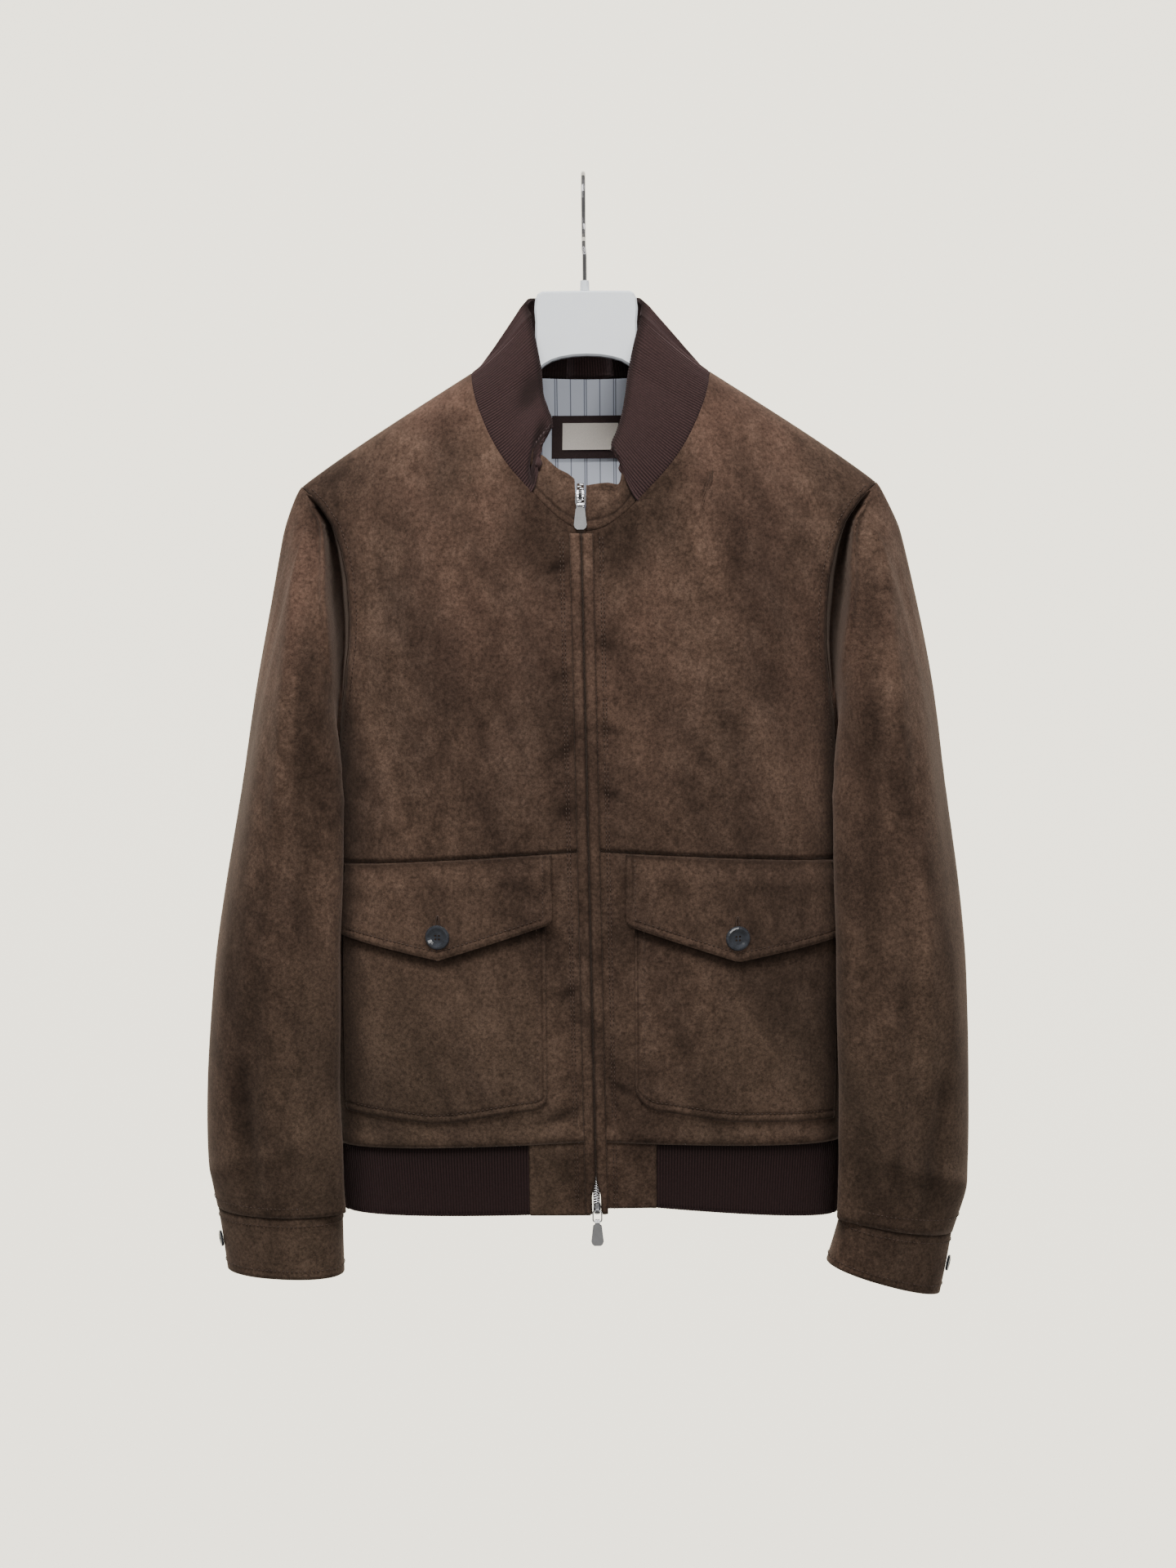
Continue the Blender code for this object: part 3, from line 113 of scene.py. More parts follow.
# soft folds of the hanging cloth: a ridge from one point to another, on one face
Fold = namedtuple("Fold", "face xTop zTop xLow zLow width height")
bodyFolds = (
    Fold(frontFace, -0.150, -0.235, -0.100, -0.420, 0.024, 0.0030),
    Fold(frontFace, -0.060, -0.290, -0.072, -0.480, 0.020, -0.0022),
    Fold(frontFace, 0.075, -0.285, 0.060, -0.470, 0.022, -0.0024),
    Fold(frontFace, 0.160, -0.250, 0.118, -0.430, 0.024, 0.0028),
    Fold(frontFace, -0.150, -0.430, -0.135, -0.540, 0.026, -0.0022),
    Fold(frontFace, 0.152, -0.420, 0.140, -0.545, 0.028, -0.0020),
    Fold(frontFace, -0.168, -0.285, -0.176, -0.370, 0.018, -0.0038),
    Fold(frontFace, -0.108, -0.262, -0.158, -0.385, 0.013, 0.0038),
    Fold(frontFace, -0.060, -0.315, -0.069, -0.455, 0.012, -0.0042),
    Fold(frontFace, -0.087, -0.335, -0.105, -0.505, 0.014, 0.0035),
    Fold(frontFace, -0.182, -0.430, -0.146, -0.530, 0.014, -0.0035),
    Fold(frontFace, -0.040, -0.380, -0.032, -0.530, 0.009, 0.0026),
    Fold(frontFace, 0.105, -0.262, 0.152, -0.375, 0.013, 0.0038),
    Fold(frontFace, 0.074, -0.310, 0.088, -0.455, 0.012, -0.0038),
    Fold(frontFace, 0.046, -0.350, 0.053, -0.520, 0.010, 0.0029),
    Fold(frontFace, 0.174, -0.315, 0.160, -0.430, 0.016, -0.0035),
    Fold(frontFace, 0.140, -0.450, 0.182, -0.545, 0.014, 0.0032),
    Fold(backFace, -0.160, -0.300, -0.130, -0.480, 0.016, 0.0042),
    Fold(backFace, -0.060, -0.280, -0.070, -0.520, 0.014, -0.0042),
    Fold(backFace, 0.072, -0.290, 0.066, -0.560, 0.015, 0.0038),
    Fold(backFace, 0.165, -0.310, 0.148, -0.470, 0.015, -0.0038),
    Fold(backFace, -0.020, -0.480, -0.030, -0.740, 0.016, 0.0038),
    Fold(backFace, 0.170, -0.560, 0.155, -0.740, 0.014, 0.0035),
    Fold(backFace, -0.095, -0.330, -0.110, -0.700, 0.032, 0.0050),
    Fold(backFace, 0.020, -0.300, 0.028, -0.640, 0.036, -0.0040),
    Fold(backFace, 0.118, -0.350, 0.100, -0.740, 0.030, 0.0045),
)

# distances down a panel, as shares of its height above the underarm
dropShares = (0.0, 0.008, 0.04, 0.107, 0.213, 0.36, 0.52, 0.68, 0.84, 1.0)
# columns beyond the neck, as shares of the way from the neck to the panel's outer edge
shoulderShares = (0.18, 0.38, 0.58, 0.76, 0.89, 0.965, 1.0)


# small helpers
def blend(low, high, share):
    return low + (high - low) * share


def clamp(value, low=0.0, high=1.0):
    return max(low, min(high, value))


def ease(value):
    value = clamp(value)
    return value * value * (3 - 2 * value)


def cubic(start, end, lead, trail, t):
    return ((2 * t ** 3 - 3 * t * t + 1) * start + (t ** 3 - 2 * t * t + t) * lead
            + (3 * t * t - 2 * t ** 3) * end + (t ** 3 - t * t) * trail)


def rowAt(table, key):
    if key <= table[0][0]:
        return table[0]
    if key >= table[-1][0]:
        return table[-1]
    place = next(n for n in range(len(table) - 1) if key <= table[n + 1][0])
    low, high = table[place], table[place + 1]
    before, after = table[max(place - 1, 0)], table[min(place + 2, len(table) - 1)]
    span = high[0] - low[0]
    t = (key - low[0]) / span
    values = [key]
    for first, start, end, last in zip(before[1:], low[1:], high[1:], after[1:]):
        lead = (end - first) / (high[0] - before[0]) * span
        trail = (last - start) / (after[0] - low[0]) * span
        values.append(cubic(start, end, lead, trail, t))
    return type(low)(*values)


def straightRow(table, key):
    if key <= table[0][0]:
        return table[0]
    if key >= table[-1][0]:
        return table[-1]
    place = next(n for n in range(len(table) - 1) if key <= table[n + 1][0])
    low, high = table[place], table[place + 1]
    t = (key - low[0]) / (high[0] - low[0])
    return type(low)(*(blend(start, end, t) for start, end in zip(low, high)))


# the body surface
def shoulderZ(x):
    along = max(x - neckX, 0) / (shoulderX - neckX)
    return shoulderTopZ - shoulderSlope * (x - neckX) - shoulderDrop * along ** 4


def softened(x):
    reach = abs(x)
    return reach if reach > middleRound else (reach * reach / middleRound + middleRound) / 2


def sway(z):
    return swayShare * max(z - swayZ, 0)


def zipX(z):
    return zipSlant * (zipZeroZ - z) - sway(z)


def foldHeight(face, x, z):
    height = 0.0
    for fold in bodyFolds:
        if fold.face != face:
            continue
        share = clamp((fold.zTop - z) / (fold.zTop - fold.zLow), -0.25, 1.25)
        ridgeX = blend(fold.xTop, fold.xLow, share)
        fade = ease((share + 0.25) / 0.35) * ease((1.25 - share) / 0.35)
        height += fold.height * fade * exp(-((x - ridgeX) / fold.width) ** 2)
    return height


def body(x, z, face, out=0.0):
    girth = rowAt(torsoRows, z)
    reach = clamp(abs(x) / girth.halfWidth)
    rise = clamp((shoulderZ(softened(x)) - z) / shoulderRoll)
    depth = girth.front if face == frontFace else girth.back
    rolled = sqrt(1 - (1 - rise) ** 2)
    edge = (1 - reach ** sidePower) ** (1 / sidePower)
    y = face * (depth * edge * rolled + foldHeight(face, x, z) * edge * rolled)
    if abs(y) < edgeGap:
        y = face * edgeGap
    point = Vector((x + sway(z), y, z))
    if out:
        point += bodyNormal(x, z, face) * out
    return point


def bodyNormal(x, z, face):
    step = 0.0002
    inner = x - step if x > 0 else x + step
    here = body(x, z, face)
    across = (here - body(inner, z, face)) * (1 if x > 0 else -1)
    down = body(x, z - step, face) - here
    normal = across.cross(down)
    if normal.y * face < 0:
        normal.negate()
    if abs(normal.y) < 1e-12:
        normal = Vector((1 if x > 0 else -1, 0, 0))
    return normal.normalized()


def edgeX(z):
    if z < underarmZ:
        return rowAt(torsoRows, z).halfWidth
    return straightRow(armholeRows, z).x


def topZ(reach, face):
    if reach >= neckX:
        return shoulderZ(reach)
    neck = rowAt(neckRows, max(reach, 0))
    return neck.frontZ if face == frontFace else neck.backZ


def waistZ(reach):
    return waistLineZ - 0.065 * reach


def ribSeamZ(reach, face):
    return -0.8045 if face == backFace else -0.7940 - 0.0505 * reach


# columns of the panels
neckStations = (0.0160, 0.0280, 0.0385, 0.0460, 0.0560, 0.0680, 0.0800, 0.0900, 0.0950, 0.0980, 0.0990)
backStations = (0.0000, 0.0200, 0.0400, 0.0620, 0.0800, 0.0900, 0.0960, 0.0990)


def innerX(side, z):
    return side * zipX(z) + zipHalf


def frontColumns(side):
    shares = [0.0]
    for station in neckStations:
        z = topZ(station, frontFace)
        inner = innerX(side, z)
        shares.append((station - inner) / (edgeX(z) - inner))
    neckShare = shares[-1]
    shares += [blend(neckShare, 1.0, share) for share in shoulderShares]
    return shares


def backColumns():
    shares = [station / shoulderX for station in backStations]
    shares += [blend(shares[-1], 1.0, share) for share in shoulderShares]
    return [-share for share in reversed(shares[1:])] + shares


def dropShare(row):
    low = min(int(row), len(dropShares) - 2)
    return blend(dropShares[low], dropShares[low + 1], row - low)


def panelPoint(side, face, share, row, bottomZ):
    last = len(dropShares) - 1
    z = top = underarmZ
    for _ in range(4):
        inner = innerX(side, z) if face == frontFace else 0.0
        reach = blend(inner, edgeX(z), share)
        top = topZ(reach, face) - seamHalf
        if row <= last:
            z = blend(top, underarmZ, dropShare(row))
        else:
            z = blend(underarmZ, bottomZ(reach) + seamHalf, row - last)
    inner = innerX(side, z) if face == frontFace else 0.0
    reach = blend(inner, edgeX(z), share)
    place = body(side * reach, z, face)
    if row == 0 and reach >= neckX:
        place.y, place.z = face * edgeGap, shoulderZ(reach)     # front and back meet on the shoulder
    return place


lowerShares = (0.0, 0.13, 0.20, 0.30, 0.42, 0.54, 0.66, 0.77, 0.86, 0.93, 0.975, 1.0)


# zip guards and chain
guardWidth = 0.0095
guardWall = 0.0012
guardTopZ = -0.2945
guardLowZ = -0.8570
guardOpenZ = -0.8250        # below it the two guards part round the lower slider
guardOpen = 0.0034
chainHalf = 0.0028
chainLowZ = -0.8565


def guardEdge(side, z):
    parted = guardOpen * ease((guardOpenZ - z) / 0.018)
    return side * zipX(z) + seamHalf + parted


# collar
# the band runs from the neck seam to its top edge; baseX counts outwards from the middle
Band = namedtuple("Band", "baseX x y z")
bandFront = {
    rightSide: (
        Band(0.0080, -0.0079, -0.0580, -0.2519),
        Band(0.0160, -0.0145, -0.0575, -0.2462),
        Band(0.0260, -0.0231, -0.0560, -0.2415),
        Band(0.0360, -0.0330, -0.0530, -0.2324),
        Band(0.0460, -0.0409, -0.0480, -0.2255),
        Band(0.0530, -0.0345, -0.0455, -0.2160),
        Band(0.0600, -0.0262, -0.0420, -0.2049),
        Band(0.0700, -0.0295, -0.0370, -0.1919),
        Band(0.0800, -0.0335, -0.0310, -0.1790),
        Band(0.0900, -0.0350, -0.0225, -0.1590),
        Band(0.0960, -0.0395, -0.0155, -0.1360),
        Band(0.0990, -0.0450, -0.0050, -0.1120),
    ),
    leftSide: (
        Band(-0.0030, 0.0000, -0.0580, -0.2558),
        Band(0.0100, 0.0171, -0.0585, -0.2538),
        Band(0.0200, 0.0264, -0.0580, -0.2550),
        Band(0.0290, 0.0295, -0.0572, -0.2492),
        Band(0.0385, 0.0286, -0.0510, -0.2366),
        Band(0.0460, 0.0205, -0.0470, -0.2240),
        Band(0.0560, 0.0250, -0.0430, -0.2105),
        Band(0.0680, 0.0292, -0.0380, -0.1975),
        Band(0.0800, 0.0326, -0.0310, -0.1800),
        Band(0.0900, 0.0356, -0.0225, -0.1596),
        Band(0.0960, 0.0405, -0.0155, -0.1370),
        Band(0.0990, 0.0476, -0.0050, -0.1125),
    ),
}
bandBack = (
    Band(0.0000, 0.0000, 0.0380, -0.0970),
    Band(0.0200, 0.0140, 0.0370, -0.0965),
    Band(0.0400, 0.0270, 0.0340, -0.0960),
    Band(0.0620, 0.0385, 0.0260, -0.0960),
    Band(0.0800, 0.0455, 0.0180, -0.0965),
    Band(0.0900, 0.0480, 0.0110, -0.0980),
    Band(0.0960, 0.0488, 0.0050, -0.1020),
    Band(0.0990, 0.0470, -0.0050, -0.1120),
)
tabEnd = {rightSide: 0.0460, leftSide: 0.0385}
bandGap = 0.0005
bandLead = 0.30              # how long the band keeps the panel's direction above the seam


def neckBase(side, face, station):
    step = 0.0006
    z = topZ(station, face)
    here = body(side * station, z, face)
    low = body(side * (station - step), topZ(station - step, face), face)
    high = body(side * min(station + step, neckX), topZ(min(station + step, neckX), face), face)
    seam = (high - low).normalized()
    if station > neckX - 0.0005:
        seam = Vector((0, face, 0))
        normal = Vector((side * shoulderSlope, 0, 1)).normalized()
    else:
        normal = bodyNormal(side * station, z, face)
    onward = normal.cross(seam).normalized()
    if onward.z < 0:
        onward.negate()
    if face == frontFace:
        onward.x *= ease(station / 0.040)
    return here, onward.normalized()


def bandPoint(side, face, station, row, gap=bandGap):
    table = bandFront[side] if face == frontFace else bandBack
    edge = rowAt(table, station)
    top = Vector((edge.x if face == frontFace else side * edge.x, edge.y, edge.z))
    seamPoint, onward = neckBase(side, face, station)
    base = seamPoint + onward * gap
    lead = base + onward * (top - base).length * bandLead
    return base * (1 - row) ** 2 + lead * (2 * row * (1 - row)) + top * row ** 2


def chainPoint(share, row):
    if row <= 1:
        z = blend(chainLowZ, guardTopZ - 0.001, row)
        middle = body(zipX(z), z, frontFace, -0.0002)
    else:
        inner = [bandPoint(side, frontFace, innerX(side, topZ(0.0, frontFace)), (row - 1) * 0.99)
                 for side in (rightSide, leftSide)]
        middle = (inner[0] + inner[1]) / 2 + Vector((0, 0.0004, 0))
    return middle + Vector((chainHalf * share, 0, 0))


# sleeves and cuffs: rings of the hanging sleeve, in world places
Ring = namedtuple("Ring", "level inner outer zInner zOuter halfDepth midY power")
sleeveRings = {
    rightSide: (
        Ring(0.00, 0.2150, 0.2905, -0.5010, -0.5000, 0.0740, -0.0090, 1.85),
        Ring(0.16, 0.2095, 0.3015, -0.5600, -0.5600, 0.0635, -0.0200, 1.90),
        Ring(0.35, 0.2086, 0.3115, -0.6300, -0.6300, 0.0570, -0.0340, 1.95),
        Ring(0.52, 0.2089, 0.3180, -0.6900, -0.6900, 0.0510, -0.0350, 2.00),
        Ring(0.69, 0.2103, 0.3225, -0.7500, -0.7500, 0.0475, -0.0355, 2.05),
        Ring(0.85, 0.2103, 0.3235, -0.8080, -0.8080, 0.0440, -0.0355, 2.10),
        Ring(0.94, 0.2100, 0.3205, -0.8350, -0.8350, 0.0420, -0.0355, 2.10),
        Ring(1.00, 0.2090, 0.3170, -0.8543, -0.8557, 0.0385, -0.0350, 2.10),
    ),
    leftSide: (
        Ring(0.00, 0.2150, 0.2995, -0.5010, -0.5000, 0.0740, -0.0090, 1.85),
        Ring(0.16, 0.2090, 0.3080, -0.5600, -0.5600, 0.0635, -0.0230, 1.90),
        Ring(0.35, 0.2062, 0.3135, -0.6300, -0.6330, 0.0570, -0.0400, 1.95),
        Ring(0.52, 0.2064, 0.3165, -0.6900, -0.6950, 0.0510, -0.0410, 2.00),
        Ring(0.69, 0.2080, 0.3180, -0.7500, -0.7570, 0.0475, -0.0400, 2.05),
        Ring(0.85, 0.2098, 0.3180, -0.8050, -0.8180, 0.0440, -0.0395, 2.10),
        Ring(0.94, 0.2095, 0.3155, -0.8350, -0.8490, 0.0420, -0.0390, 2.10),
        Ring(1.00, 0.2090, 0.3060, -0.8605, -0.8815, 0.0385, -0.0380, 2.10),
    ),
}
cuffRings = {
    rightSide: (
        Ring(0.0, 0.2085, 0.3162, -0.8549, -0.8563, 0.0375, -0.0350, 2.15),
        Ring(0.5, 0.2083, 0.3125, -0.8815, -0.8829, 0.0355, -0.0350, 2.20),
        Ring(1.0, 0.2080, 0.3095, -0.9081, -0.9095, 0.0335, -0.0345, 2.20),
    ),
    leftSide: (
        Ring(0.0, 0.2085, 0.3050, -0.8611, -0.8821, 0.0375, -0.0380, 2.15),
        Ring(0.5, 0.2030, 0.3005, -0.8810, -0.9085, 0.0355, -0.0380, 2.20),
        Ring(1.0, 0.1970, 0.2955, -0.9010, -0.9350, 0.0335, -0.0375, 2.20),
    ),
}
sleeveTwist = 0.0120
sleeveAxisX = 0.262
sleeveAngles = (0, 9, 22, 40, 60, 82, 104, 128, 154, 180)
capShares = (0.0, 0.018, 0.10, 0.26, 0.48, 0.74)
capSide = {rightSide: 0.006, leftSide: 0.011}    # how far the sleeve head stands out sideways
capDepth = 0.020                         # and towards the front and back
capLead = 0.08               # the cloth leaves the seam in the panel's direction
armholeGap = 0.0004

# the sleeve's largest creases: along a line of angle and level, wide and high as given
Crease = namedtuple("Crease", "side angleTop angleLow levelTop levelLow width height")
sleeveCreases = (
    Crease(rightSide, 62, 50, -0.30, 0.55, 17, 0.0030),
    Crease(rightSide, 96, 84, 0.10, 0.80, 15, -0.0035),
    Crease(rightSide, 300, 320, 0.00, 0.70, 22, 0.0035),
    Crease(rightSide, 20, 120, 0.90, 0.80, 16, 0.0025),
    Crease(leftSide, 66, 50, -0.30, 0.60, 16, 0.0032),
    Crease(leftSide, 100, 80, 0.05, 0.75, 16, -0.0035),
    Crease(leftSide, 295, 320, 0.00, 0.75, 22, 0.0035),
    Crease(leftSide, 120, 20, 0.84, 0.92, 16, 0.0028),
)


def ringPoint(ring, side, angle, out=0.0):
    turn = radians(angle)
    power = 2 / ring.power
    across = (1 if cos(turn) >= 0 else -1) * abs(cos(turn)) ** power
    depth = (1 if sin(turn) >= 0 else -1) * abs(sin(turn)) ** power
    share = (1 + across) / 2
    x = blend(ring.inner, ring.outer, share) + out * across
    y = ring.midY + sleeveTwist * across - (ring.halfDepth + out) * depth
    return Vector((side * x, y, blend(ring.zInner, ring.zOuter, share)))


def angleAt(place):
    low = min(int(place), len(sleeveAngles) - 2)
    before, after = sleeveAngles[max(low - 1, 0)], sleeveAngles[min(low + 2, len(sleeveAngles) - 1)]
    start, end, t = sleeveAngles[low], sleeveAngles[low + 1], place - low
    lead = (end - before) / (2 if low else 1)
    trail = (after - start) / (2 if low + 2 < len(sleeveAngles) else 1)
    return cubic(start, end, lead, trail, t)


def armholePoint(side, face, place):
    last = len(dropShares) - 1
    z = panelPoint(side, face, 1.0, place, waistZ).z
    x = edgeX(z)
    here = body(side * x, z, face)
    top = Vector((side, 0, -shoulderSlope)).normalized()
    foot = Vector((side * 0.60, 0, -1)).normalized()
    if place in (0, last):
        here.y = 0.0
        return here, top if place == 0 else foot
    step = 0.0015
    high, low = min(z + step, shoulderZ(shoulderX)), max(z - step, underarmZ)
    along = (body(side * edgeX(low), low, face) - body(side * edgeX(high), high, face)).normalized()
    onward = bodyNormal(side * x, z, face).cross(along).normalized()
    if onward.x * side < 0:
        onward.negate()
    onward = top.lerp(onward, ease(place / 1.5)) if place < 1.5 else onward
    onward = foot.lerp(onward, ease(last - place)) if last - place < 1 else onward
    return here, onward.normalized()


def creaseHeight(side, angle, level):
    height = 0.0
    for crease in sleeveCreases:
        if crease.side != side:
            continue
        share = (level - crease.levelTop) / (crease.levelLow - crease.levelTop)
        if crease.levelLow - crease.levelTop > 0.2:
            centre = blend(crease.angleTop, crease.angleLow, clamp(share))
            away = (angle - centre) / crease.width
        else:
            share = (angle - crease.angleTop) / (crease.angleLow - crease.angleTop)
            centre = blend(crease.levelTop, crease.levelLow, clamp(share))
            away = (level - centre) / (crease.width * 0.002)
        fade = ease((share + 0.2) / 0.4) * ease((1.2 - share) / 0.4)
        height += crease.height * fade * exp(-away * away)
    return height


def sleevePoint(side, station, level):
    face, place = station
    angle = angleAt(place)
    angle = angle if face == frontFace else 360 - angle
    lift = creaseHeight(side, angle, level)
    if level >= 0:
        return ringPoint(rowAt(sleeveRings[side], level), side, angle, lift)
    share = level + 1
    seamPoint, onward = armholePoint(side, face, place)
    turn = radians(angle)
    first = ringPoint(sleeveRings[side][0], side, angle)
    swell = sin(pi * share) ** 0.8
    start = seamPoint + onward * (armholeGap + 0.12 * share * (1 - share) ** 6)
    ontoRing = share * share * (1 + capLead) / (share + capLead)
    full = Vector((side * capSide[side] * max(cos(turn), 0), -capDepth * sin(turn), 0)) * swell
    return start.lerp(first, ontoRing) + full * ease(share / 0.2) + Vector((side, 0, 0)) * lift * share


# the sleeve's front fold: between the armhole seam and its ridge the cloth sinks in
Recess = namedtuple("Recess", "z ridge depth")
recessRows = (
    Recess(-0.4340, 0.2045, 0.0000),
    Recess(-0.4170, 0.2060, 0.0065),
    Recess(-0.3930, 0.2070, 0.0120),
    Recess(-0.3760, 0.2082, 0.0180),
    Recess(-0.3445, 0.2120, 0.0220),
    Recess(-0.3130, 0.2145, 0.0240),
    Recess(-0.2857, 0.2185, 0.0220),
    Recess(-0.2720, 0.2260, 0.0160),
    Recess(-0.2600, 0.2340, 0.0000),
)
# how far the sleeve's inner front corner leans over the body, by level
lapRows = ((-1.0, 0.0), (-0.74, 0.0020), (-0.50, 0.0080), (-0.26, 0.0130), (0.0, 0.0165),
           (0.16, 0.0125), (0.35, 0.0070), (0.69, 0.0055), (0.82, 0.0085), (1.0, 0.0085))
# crests and troughs down the sleeves: side, world x and z of both ends, width, height
Crest = namedtuple("Crest", "side xTop zTop xLow zLow width height")
sleeveCrests = (
    Crest(rightSide, 0.2375, -0.268, 0.2545, -0.560, 0.0075, 0.0050),
    Crest(rightSide, 0.2565, -0.540, 0.2680, -0.800, 0.0090, 0.0036),
    Crest(rightSide, 0.2250, -0.330, 0.2330, -0.640, 0.0100, -0.0028),
    Crest(rightSide, 0.2790, -0.420, 0.2960, -0.700, 0.0110, -0.0034),
    Crest(rightSide, 0.2400, -0.700, 0.2330, -0.845, 0.0080, 0.0028),
    Crest(rightSide, 0.2870, -0.720, 0.2780, -0.850, 0.0090, -0.0034),
    Crest(leftSide, 0.2460, -0.290, 0.2560, -0.520, 0.0080, 0.0045),
    Crest(leftSide, 0.2280, -0.330, 0.2290, -0.700, 0.0100, -0.0022),
    Crest(leftSide, 0.2700, -0.500, 0.2780, -0.770, 0.0085, 0.0042),
    Crest(leftSide, 0.2880, -0.380, 0.2980, -0.660, 0.0100, -0.0036),
    Crest(leftSide, 0.2520, -0.620, 0.2440, -0.840, 0.0085, 0.0036),
    Crest(leftSide, 0.2900, -0.740, 0.2780, -0.870, 0.0080, -0.0034),
)


def lapAt(level, angle):
    low = next((pair for pair in zip(lapRows, lapRows[1:]) if level <= pair[1][0]), lapRows[-2:])
    share = clamp((level - low[0][0]) / (low[1][0] - low[0][0]))
    reach = blend(low[0][1], low[1][1], share)
    return reach * exp(-((angle - 152) / 24) ** 2) if 90 < angle < 230 else 0.0


def crestHeight(side, place):
    height = 0.0
    for crest in sleeveCrests:
        if crest.side != side:
            continue
        share = (crest.zTop - place.z) / (crest.zTop - crest.zLow)
        fade = ease((share + 0.10) / 0.30) * ease((1.10 - share) / 0.30)
        if fade > 0:
            away = (abs(place.x) - blend(crest.xTop, crest.xLow, share)) / crest.width
            height += crest.height * fade * exp(-away * away)
    return height


def sleeveShadow(side, place):
    if place.y > -0.004:
        return 0.0
    dark = 0.35 * clamp(-crestHeight(side, place) / 0.0024)
    row = rowAt(recessRows, place.z)
    reach = abs(place.x - sway(place.z))
    if recessRows[0].z < place.z < recessRows[-1].z:
        share = (reach - edgeX(place.z)) / (row.ridge - edgeX(place.z))
        sunk = clamp(row.depth / 0.012) * (1 - ease((share - 0.85) / 0.35))
        dark = max(dark, 0.80 * sunk)
    return dark


def evenedPoint(side, station, level):
    reach = 0.13 * ease((level + 0.42) / 0.25) * ease((0.46 - level) / 0.25)
    if reach <= 0:
        return sleevePoint(side, station, level)
    total = Vector((0, 0, 0))
    for step, weight in ((-1, 1), (-0.5, 2), (0, 2), (0.5, 2), (1, 1)):
        total += weight * sleevePoint(side, station, level + step * reach)
    return total / 8


def sleeveFront(side, station, level):
    place = evenedPoint(side, station, level)
    face, where = station
    if face == backFace:
        return place
    place.x -= side * lapAt(level, angleAt(where))
    if place.y > -0.004:
        return place
    place.y -= crestHeight(side, place) * ease(-place.y / 0.030)
    row = rowAt(recessRows, place.z)
    reach = abs(place.x - sway(place.z))
    if recessRows[0].z < place.z < recessRows[-1].z and level < 0:
        share = (reach - edgeX(place.z)) / (row.ridge - edgeX(place.z))
        sunk = ease(share / 0.5) * (1 - ease((share - 0.92) / 0.13))
        place.y += row.depth * sunk - 0.30 * row.depth * exp(-((share - 1.22) / 0.22) ** 2)
    return place


# hem
panelEnd = {rightSide: 0.0515, leftSide: 0.0545}
hemInset = -0.0012
sideShares = (0.0, 0.16, 0.32, 0.48, 0.63, 0.76, 0.87, 0.945, 0.985, 1.0)


def hemLowZ(side, reach, face):
    near, far = (-0.8590, -0.8635) if side == rightSide else (-0.8530, -0.8700)
    if face == frontFace:
        return blend(near, far, clamp((reach - 0.05) / 0.155))
    return blend(-0.8668, far, clamp(reach / 0.205))


def hemPoint(side, face, share, row):
    z = -0.83
    for _ in range(3):
        start = panelEnd[side] + seamHalf if face == frontFace else 0.0
        reach = blend(start, edgeX(z), share)
        z = blend(ribSeamZ(reach, face) - seamHalf, hemLowZ(side, reach, face), row)
    start = panelEnd[side] + seamHalf if face == frontFace else 0.0
    x = blend(start, edgeX(z) + hemInset, share)
    place = body(side * x, z, face, hemInset if share < 0.98 else 0.0)
    if share >= 1:
        place.y = 0.0
    return place


# pockets, flaps and their buttons
Pocket = namedtuple("Pocket", "inner lowInner lowMiddle lowOuter corner flapInner flapEnd flapPoint "
                              "flapPointX flapOuter buttonX buttonZ")
pocketSizes = {
    rightSide: Pocket(0.0355, -0.7660, -0.7790, -0.7735, 0.012, 0.0300, -0.6095, -0.6400, 0.1220, -0.6235,
                  0.1220, -0.6205),
    leftSide: Pocket(0.0370, -0.7665, -0.7800, -0.7840, 0.020, 0.0300, -0.6115, -0.6430, 0.1200, -0.6290,
                 0.1195, -0.6232),
}
pocketTopZ = -0.5860
pocketFootZ = -0.7800
pocketBulge = 0.0040
pocketOuter = 0.201            # where the swell ends
pocketFoot = 0.165              # width over which the lower edge slopes
flapOuter = 0.2025
flapLift = 0.0022               # how far the flap's lower edge stands off
pocketSide = 0.945           # the pocket's outer edge, as a share of the body's half-width
flapSide = 0.947
layerSlack = 0.0006          # between the pocket and its flap


def pocketOut(side, reach, z):
    inner = pocketSizes[side].inner
    across = clamp((reach - inner) / (pocketOuter - inner))
    down = clamp((pocketTopZ - z) / (pocketTopZ - pocketFootZ))
    swell = sin(pi * across) ** 0.7 * sin(pi * clamp(0.10 + 0.90 * down)) ** 0.8
    return layerGap + suedeWall + pocketBulge * swell


def pocketLowZ(side, reach):
    sizes = pocketSizes[side]
    run = reach - sizes.inner
    share = run / pocketFoot
    low = blend(sizes.lowInner, sizes.lowMiddle, ease(share / 0.6))
    if share > 0.6:
        low = blend(sizes.lowMiddle, sizes.lowOuter, (share - 0.6) / 0.4)
    if run < sizes.corner:
        low += sizes.corner - sqrt(sizes.corner ** 2 - (sizes.corner - run) ** 2)
    return low


def flapLowZ(side, reach):
    sizes = pocketSizes[side]
    if reach <= sizes.flapPointX:
        share = (reach - sizes.flapInner) / (sizes.flapPointX - sizes.flapInner)
        low = blend(sizes.flapEnd, sizes.flapPoint, share)
    else:
        share = (reach - sizes.flapPointX) / (flapOuter - sizes.flapPointX)
        low = blend(sizes.flapPoint, sizes.flapOuter, share)
    return low + 0.003 * (1 - clamp((reach - sizes.flapInner) / 0.003))


def flapOut(side, reach, z):
    settled = ease((waistZ(reach) - 0.004 - z) / 0.017)
    return layerGap + suedeWall + settled * (pocketOut(side, reach, z) + layerSlack)


